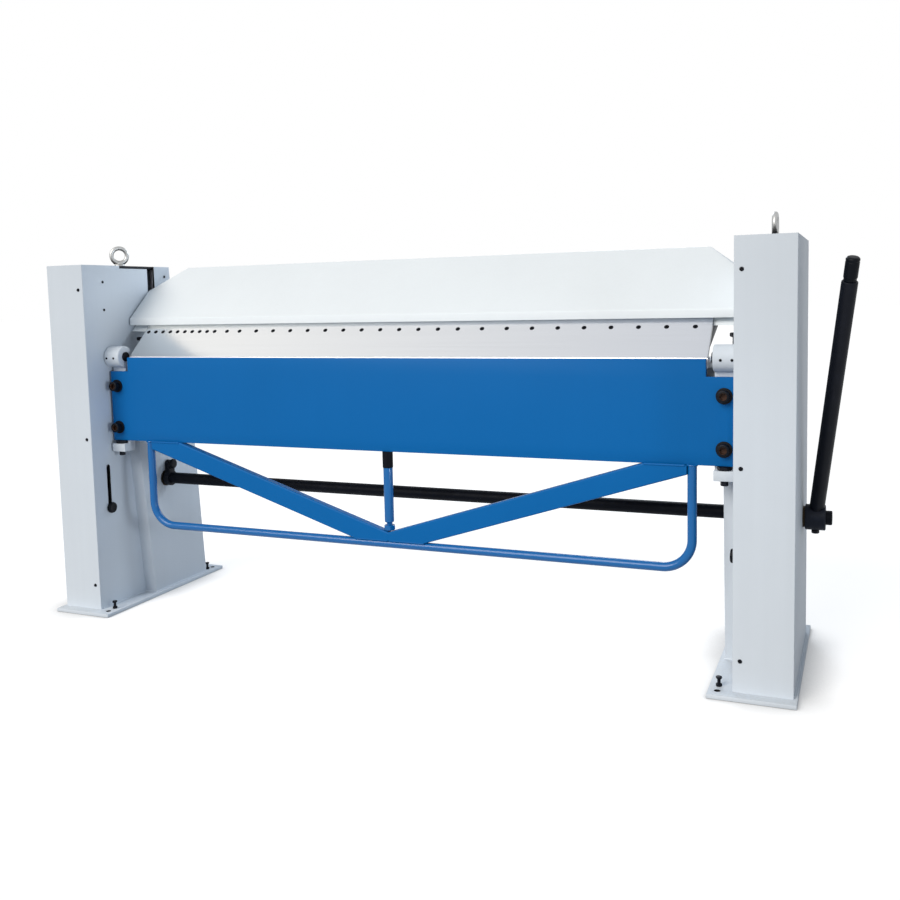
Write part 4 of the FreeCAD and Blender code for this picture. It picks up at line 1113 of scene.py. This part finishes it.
class FOLDER_OT_blade(Build, bpy.types.Operator):
    """Build the clamping blade and its row of flat socket screws"""

    bl_idname = "folder.blade"
    bl_label = "Clamping Blade"

    def build(self, detail):
        sawn("clamping_blade", detail.sheet_edge, "blade_steel")
        slope, rim = self.slope(), BLADE_SCREW.radius
        axis = Vector((0, -math.sin(slope), math.cos(slope)))

        def screw(bm, centre, low, high):
            """Screw square to the blade; its box gives the middle of its outer face."""
            face = Vector((centre.x, low.y + rim * abs(axis.z), high.z - rim * abs(axis.y)))
            socket_screw(bm, face - axis * BLADE_SCREW.height, axis, BLADE_SCREW)

        drawn("blade_screw_set", "blade_screws", screw, "socket_screw")

    def slope(self):
        """Angle of the blade's face from the level."""
        low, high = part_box("clamping_blade")
        top = min(co.y for co in points_of("clamping_blade") if co.z > high.z - 0.0005)
        return math.atan2(high.z - low.z, top - low.y)


class FOLDER_OT_lift(Build, bpy.types.Operator):
    """Build the lifting gear inside the columns: tongues, guides, rods, cranks and the knobs' slides"""

    bl_idname = "folder.lift"
    bl_label = "Lifting Gear"

    def build(self, detail):
        for node in ("pull_rod_left", "pull_rod_right", "lift_crank_left", "lift_crank_right", "guide_gibs",
                     "guide_tongues"):
            eased(node, detail.gear_edge)
        for side in SIDES:
            eased("knob_slide_" + side, detail.gear_edge, look="oiled_steel")


class FOLDER_OT_shaft(Build, bpy.types.Operator):
    """Build the cross shaft, the stop arm and its round head"""

    bl_idname = "folder.shaft"
    bl_label = "Clamping Shaft"

    def build(self, detail):
        centre, low, high = boxed("clamp_shaft")
        bm = new_shape()
        start, radius = (low.x, centre.y, centre.z), (high.z - low.z) / 2
        turned_bar(bm, place(start, RIGHT), radius, high.x - low.x, edge=0.003)
        stand_in("cross_shaft", bm, "clamp_shaft", "oiled_black")
        eased("stop_arm", detail.plate_edge)
        drawn("stop_arm_head", "stop_arm_knob", self.head)

    def head(self, bm, centre, low, high):
        """Low round knob with a chamfered face."""
        profile = [(0, 0), (0.017, 0), (0.019, 0.003), (0.019, 0.008), (0.0165, 0.0112), (0.010, 0.012),
                   (0, 0.012)]
        lathe(bm, place((low.x, centre.y, centre.z), RIGHT), softened(profile, 0.0012))


class FOLDER_OT_lever(Build, bpy.types.Operator):
    """Build the clamping lever: hub, bar, grip and set screw"""

    bl_idname = "folder.lever"
    bl_label = "Clamping Lever"

    def build(self, detail):
        # The hub takes a lighter black: painted light against the shade that it sits in.
        eased("lever_hub", detail.hub_edge, 0.004, "hub_black")
        direction = (boxed("lever_grip")[0] - boxed("lever_hub")[0]).normalized()
        foot, tip = self.axis_points("lever_bar", direction)
        radius = 0.021
        bm = new_shape()
        turned_bar(bm, place(foot, tip - foot), radius, (tip - foot).length, edge=0.004)
        stand_in("lever_bar_turned", bm, "lever_bar")
        start, end = self.axis_points("lever_grip", direction)
        # Radius, and share of the grip's length
        grip = [(0, 0), (0.0165, 0), (0.0165, 0.12), (0.018, 0.16), (0.018, 0.80), (0.0172, 0.82),
                (0.0172, 0.84), (0.018, 0.86), (0.018, 0.93), (0.014, 1), (0, 1)]
        profile = [(size, share * (end - start).length) for size, share in grip]
        bm = new_shape()
        lathe(bm, place(start, tip - foot), softened(profile, 0.003))
        stand_in("lever_grip_moulded", bm, "lever_grip")
        drawn("lever_set_screw", "lever_screw", self.set_screw)

    def set_screw(self, bm, centre, low, high):
        flats = 0.019
        hex_head(bm, level_with(centre, high.z, DOWN), flats, high.z - low.z)

    def axis_points(self, node, direction):
        """Ends of a bar's axis: the middles of its first and last faces along a direction."""
        points = points_of(node)
        along = [co.dot(direction) for co in points]
        ends = []
        for target in (min(along), max(along)):
            face = [co for co, value in zip(points, along) if abs(value - target) < 0.0002]
            ends.append(sum(face, Vector()) / len(face))
        return ends


class FOLDER_OT_knobs(Build, bpy.types.Operator):
    """Build the flat fluted knobs of the slides"""

    bl_idname = "folder.knobs"
    bl_label = "Slide Knobs"

    def build(self, detail):
        for side in SIDES:
            node = "slide_knob_" + side
            centre, low, high = boxed(node)
            start, axis = (low.x, RIGHT) if side == "left" else (high.x, LEFT)
            bm = new_shape()
            self.knob(bm, place((start, centre.y, centre.z), axis), (high.z - low.z) / 2, high.x - low.x)
            stand_in("flat_knob_" + side, bm, node)

    def knob(self, bm, matrix, radius, reach):
        """Collar and disc with grip flutes round its rim and a shallow dish in its face."""
        steps, flutes, collar = 96, 12, 0.014

        def fluted(turn, _):
            return radius - 0.0011 * (1 + math.cos(flutes * turn)) / 2

        back = [(0, 0), (collar, 0), (collar, 0.003), (radius - 0.0025, 0.003), (radius - 0.0007, 0.0038)]
        rim = [(radius, 0.0056), (radius, reach - 0.004), (radius - 0.0012, reach - 0.0016)]
        face = [(radius - 0.004, reach - 0.0002), (radius - 0.0065, reach), (radius - 0.0085, reach - 0.0006),
                (0.006, reach - 0.0012), (0, reach - 0.0012)]
        loft(bm, [ring(bm, matrix, size, height, steps, fluted if size == radius else None)
                  for size, height in back + rim + face])


class FOLDER_OT_bed(Build, bpy.types.Operator):
    """Build the lower beam behind the apron"""

    bl_idname = "folder.bed"
    bl_label = "Lower Beam"

    def build(self, detail):
        for node in ("bed_strip", "bed_top", "bed_web", "bed_foot"):
            eased(node, detail.wall_edge, 0.05)


class FOLDER_OT_stage(Build, bpy.types.Operator):
    """Set up the camera, the lamps, the sky and the floor"""

    bl_idname = "folder.stage"
    bl_label = "Stage"

    def build(self, detail):
        scene = bpy.context.scene
        stage = scene.folder_stage
        self.camera(scene, stage)
        towards = Vector((0.30, 0.80, -0.52))
        self.lamp("key", "SUN", stage.key, stage.key_tint, towards, angle=math.radians(38))
        self.soft_box("back", stage.back, stage.sky_tint, size=1.3, start=(0.10, 2.40, 2.40),
                      aim=(-1.10, -0.10, 0.80), spread=180)
        self.soft_box("side", stage.side, stage.sky_tint, size=0.6, start=(2.60, -1.25, 0.75),
                      aim=(-1.105, -0.27, 0.65), spread=40)
        self.sky(scene, stage)
        self.floor(stage)
        scene.view_settings.view_transform = "Standard"

    def camera(self, scene, stage):
        data = bpy.data.cameras.new("camera")
        data.lens, data.sensor_width, data.shift_y = stage.lens, 36.0, stage.shift
        yaw, pitch, roll = stage.yaw, stage.pitch, stage.roll
        ahead = Vector((-math.sin(yaw) * math.cos(pitch), math.cos(yaw) * math.cos(pitch), -math.sin(pitch)))
        level = Vector((math.cos(yaw), math.sin(yaw), 0))
        above = level.cross(ahead)
        across = level * math.cos(roll) + above * math.sin(roll)
        upright = above * math.cos(roll) - level * math.sin(roll)
        turn = Matrix((across, upright, -ahead)).transposed().to_4x4()
        at = (stage.camera_x, -stage.camera_front, stage.camera_z)
        scene.camera = linked("camera", data)
        scene.camera.matrix_world = Matrix.Translation(at) @ turn

    def lamp(self, name, kind, strength, tint, towards, **settings):
        """Lamp that shines in the direction towards."""
        data = bpy.data.lights.new(name, kind)
        data.energy, data.color = strength, tint[:3]
        for key, value in settings.items():
            setattr(data, key, value)
        lamp = linked(name, data)
        lamp.rotation_mode = "QUATERNION"
        lamp.rotation_quaternion = towards.to_track_quat("-Z", "Y")
        return lamp

    def soft_box(self, name, watts, tint, size, start, aim, spread):
        """Square lamp that lifts the columns' inner faces, not seen itself."""
        lamp = self.lamp(name, "AREA", watts, tint, Vector(aim) - Vector(start), shape="SQUARE", size=size,
                         spread=math.radians(spread))
        lamp.location = start
        lamp.visible_camera = False

    def sky(self, scene, stage):
        """Even light, seen as plain white by the camera and in polished surfaces."""
        world = bpy.data.worlds.new("sky")
        scene.world = world
        world.use_nodes = True
        tree = world.node_tree
        path = tree.nodes.new("ShaderNodeLightPath").outputs
        seen = maths(tree, "MAXIMUM", path["Is Camera Ray"], path["Is Glossy Ray"])
        seen = maths(tree, "MAXIMUM", seen, path["Is Transmission Ray"])
        back = tree.nodes["Background"]
        tree.links.new(mixed(tree, seen, tuple(stage.sky_tint), (1, 1, 1, 1)), back.inputs["Color"])
        tree.links.new(maths(tree, "MULTIPLY_ADD", seen, 1.0 - stage.sky, stage.sky), back.inputs["Strength"])

    def floor(self, stage):
        """Pale floor that keeps the machine's shadow; ambient occlusion also darkens its glow near the
        machine, a painted contact shadow.
        """
        bm = bmesh.new()
        half, low = stage.floor, CAD_BOUNDS[0][2] - 0.0005
        corners = ((-half, -half), (half, -half), (half, half), (-half, half))
        bm.faces.new([bm.verts.new((x, y, low)) for x, y in corners])
        floor = linked("floor", mesh_from(bm, "floor"))
        surface = bpy.data.materials.new("floor")
        surface.use_nodes = True
        tree = surface.node_tree
        tree.nodes.clear()
        path = tree.nodes.new("ShaderNodeLightPath").outputs
        seen = maths(tree, "MAXIMUM", path["Is Camera Ray"], path["Is Glossy Ray"])
        grey, shadow_width = (0.45, 0.45, 0.45, 1), 0.12
        matte = add(tree, "ShaderNodeBsdfDiffuse", {"Color": grey})
        # Ambient occlusion dims the floor's glow near the machine: painted contact shadow on top of the real
        # shadow in the matte part.
        near = add(tree, "ShaderNodeAmbientOcclusion", {"Distance": shadow_width}, samples=8)
        painted_shadow_factor = maths(tree, "POWER", near.outputs["AO"], 1.6)
        level = maths(tree, "MULTIPLY", maths(tree, "MULTIPLY", seen, stage.glow), painted_shadow_factor)
        glow = add(tree, "ShaderNodeEmission", {"Color": (1, 1, 1, 1), "Strength": level})
        both = add(tree, "ShaderNodeAddShader", {0: matte.outputs[0], 1: glow.outputs[0]})
        add(tree, "ShaderNodeOutputMaterial", {"Surface": both.outputs[0]})
        floor.data.materials.append(surface)


OPERATORS = (FOLDER_OT_bearings, FOLDER_OT_columns, FOLDER_OT_cover_screws, FOLDER_OT_eyes,
             FOLDER_OT_levelling, FOLDER_OT_hinges, FOLDER_OT_apron, FOLDER_OT_adjusters, FOLDER_OT_handle,
             FOLDER_OT_centre_rod, FOLDER_OT_beam, FOLDER_OT_blade, FOLDER_OT_lift, FOLDER_OT_shaft,
             FOLDER_OT_lever, FOLDER_OT_knobs, FOLDER_OT_bed, FOLDER_OT_stage)


class FOLDER_PT_panel(bpy.types.Panel):
    """Sidebar panel with the settings and one button for each piece"""

    bl_label = "Folding Machine"
    bl_idname = "FOLDER_PT_panel"
    bl_space_type = "VIEW_3D"
    bl_region_type = "UI"
    bl_category = "Folding Machine"

    def draw(self, context):
        for name in SETTINGS:
            group = getattr(context.scene, name)
            column = self.layout.column(align=True)
            for key in group.__annotations__:
                column.prop(group, key)
        column = self.layout.column(align=True)
        for kind in OPERATORS:
            column.operator(kind.bl_idname)


SETTINGS = {"folder_finish": FinishSettings, "folder_detail": DetailSettings, "folder_stage": StageSettings}


def register():
    for kind in (*SETTINGS.values(), *OPERATORS, FOLDER_PT_panel):
        bpy.utils.register_class(kind)
    for name, kind in SETTINGS.items():
        setattr(bpy.types.Scene, name, PointerProperty(type=kind))


def unregister():
    for name in SETTINGS:
        delattr(bpy.types.Scene, name)
    for kind in (FOLDER_PT_panel, *reversed(OPERATORS), *reversed(SETTINGS.values())):
        bpy.utils.unregister_class(kind)


def main():
    register()
    for kind in OPERATORS:
        getattr(bpy.ops.folder, kind.bl_idname.split(".")[1])()


if __name__ == "__main__":
    main()
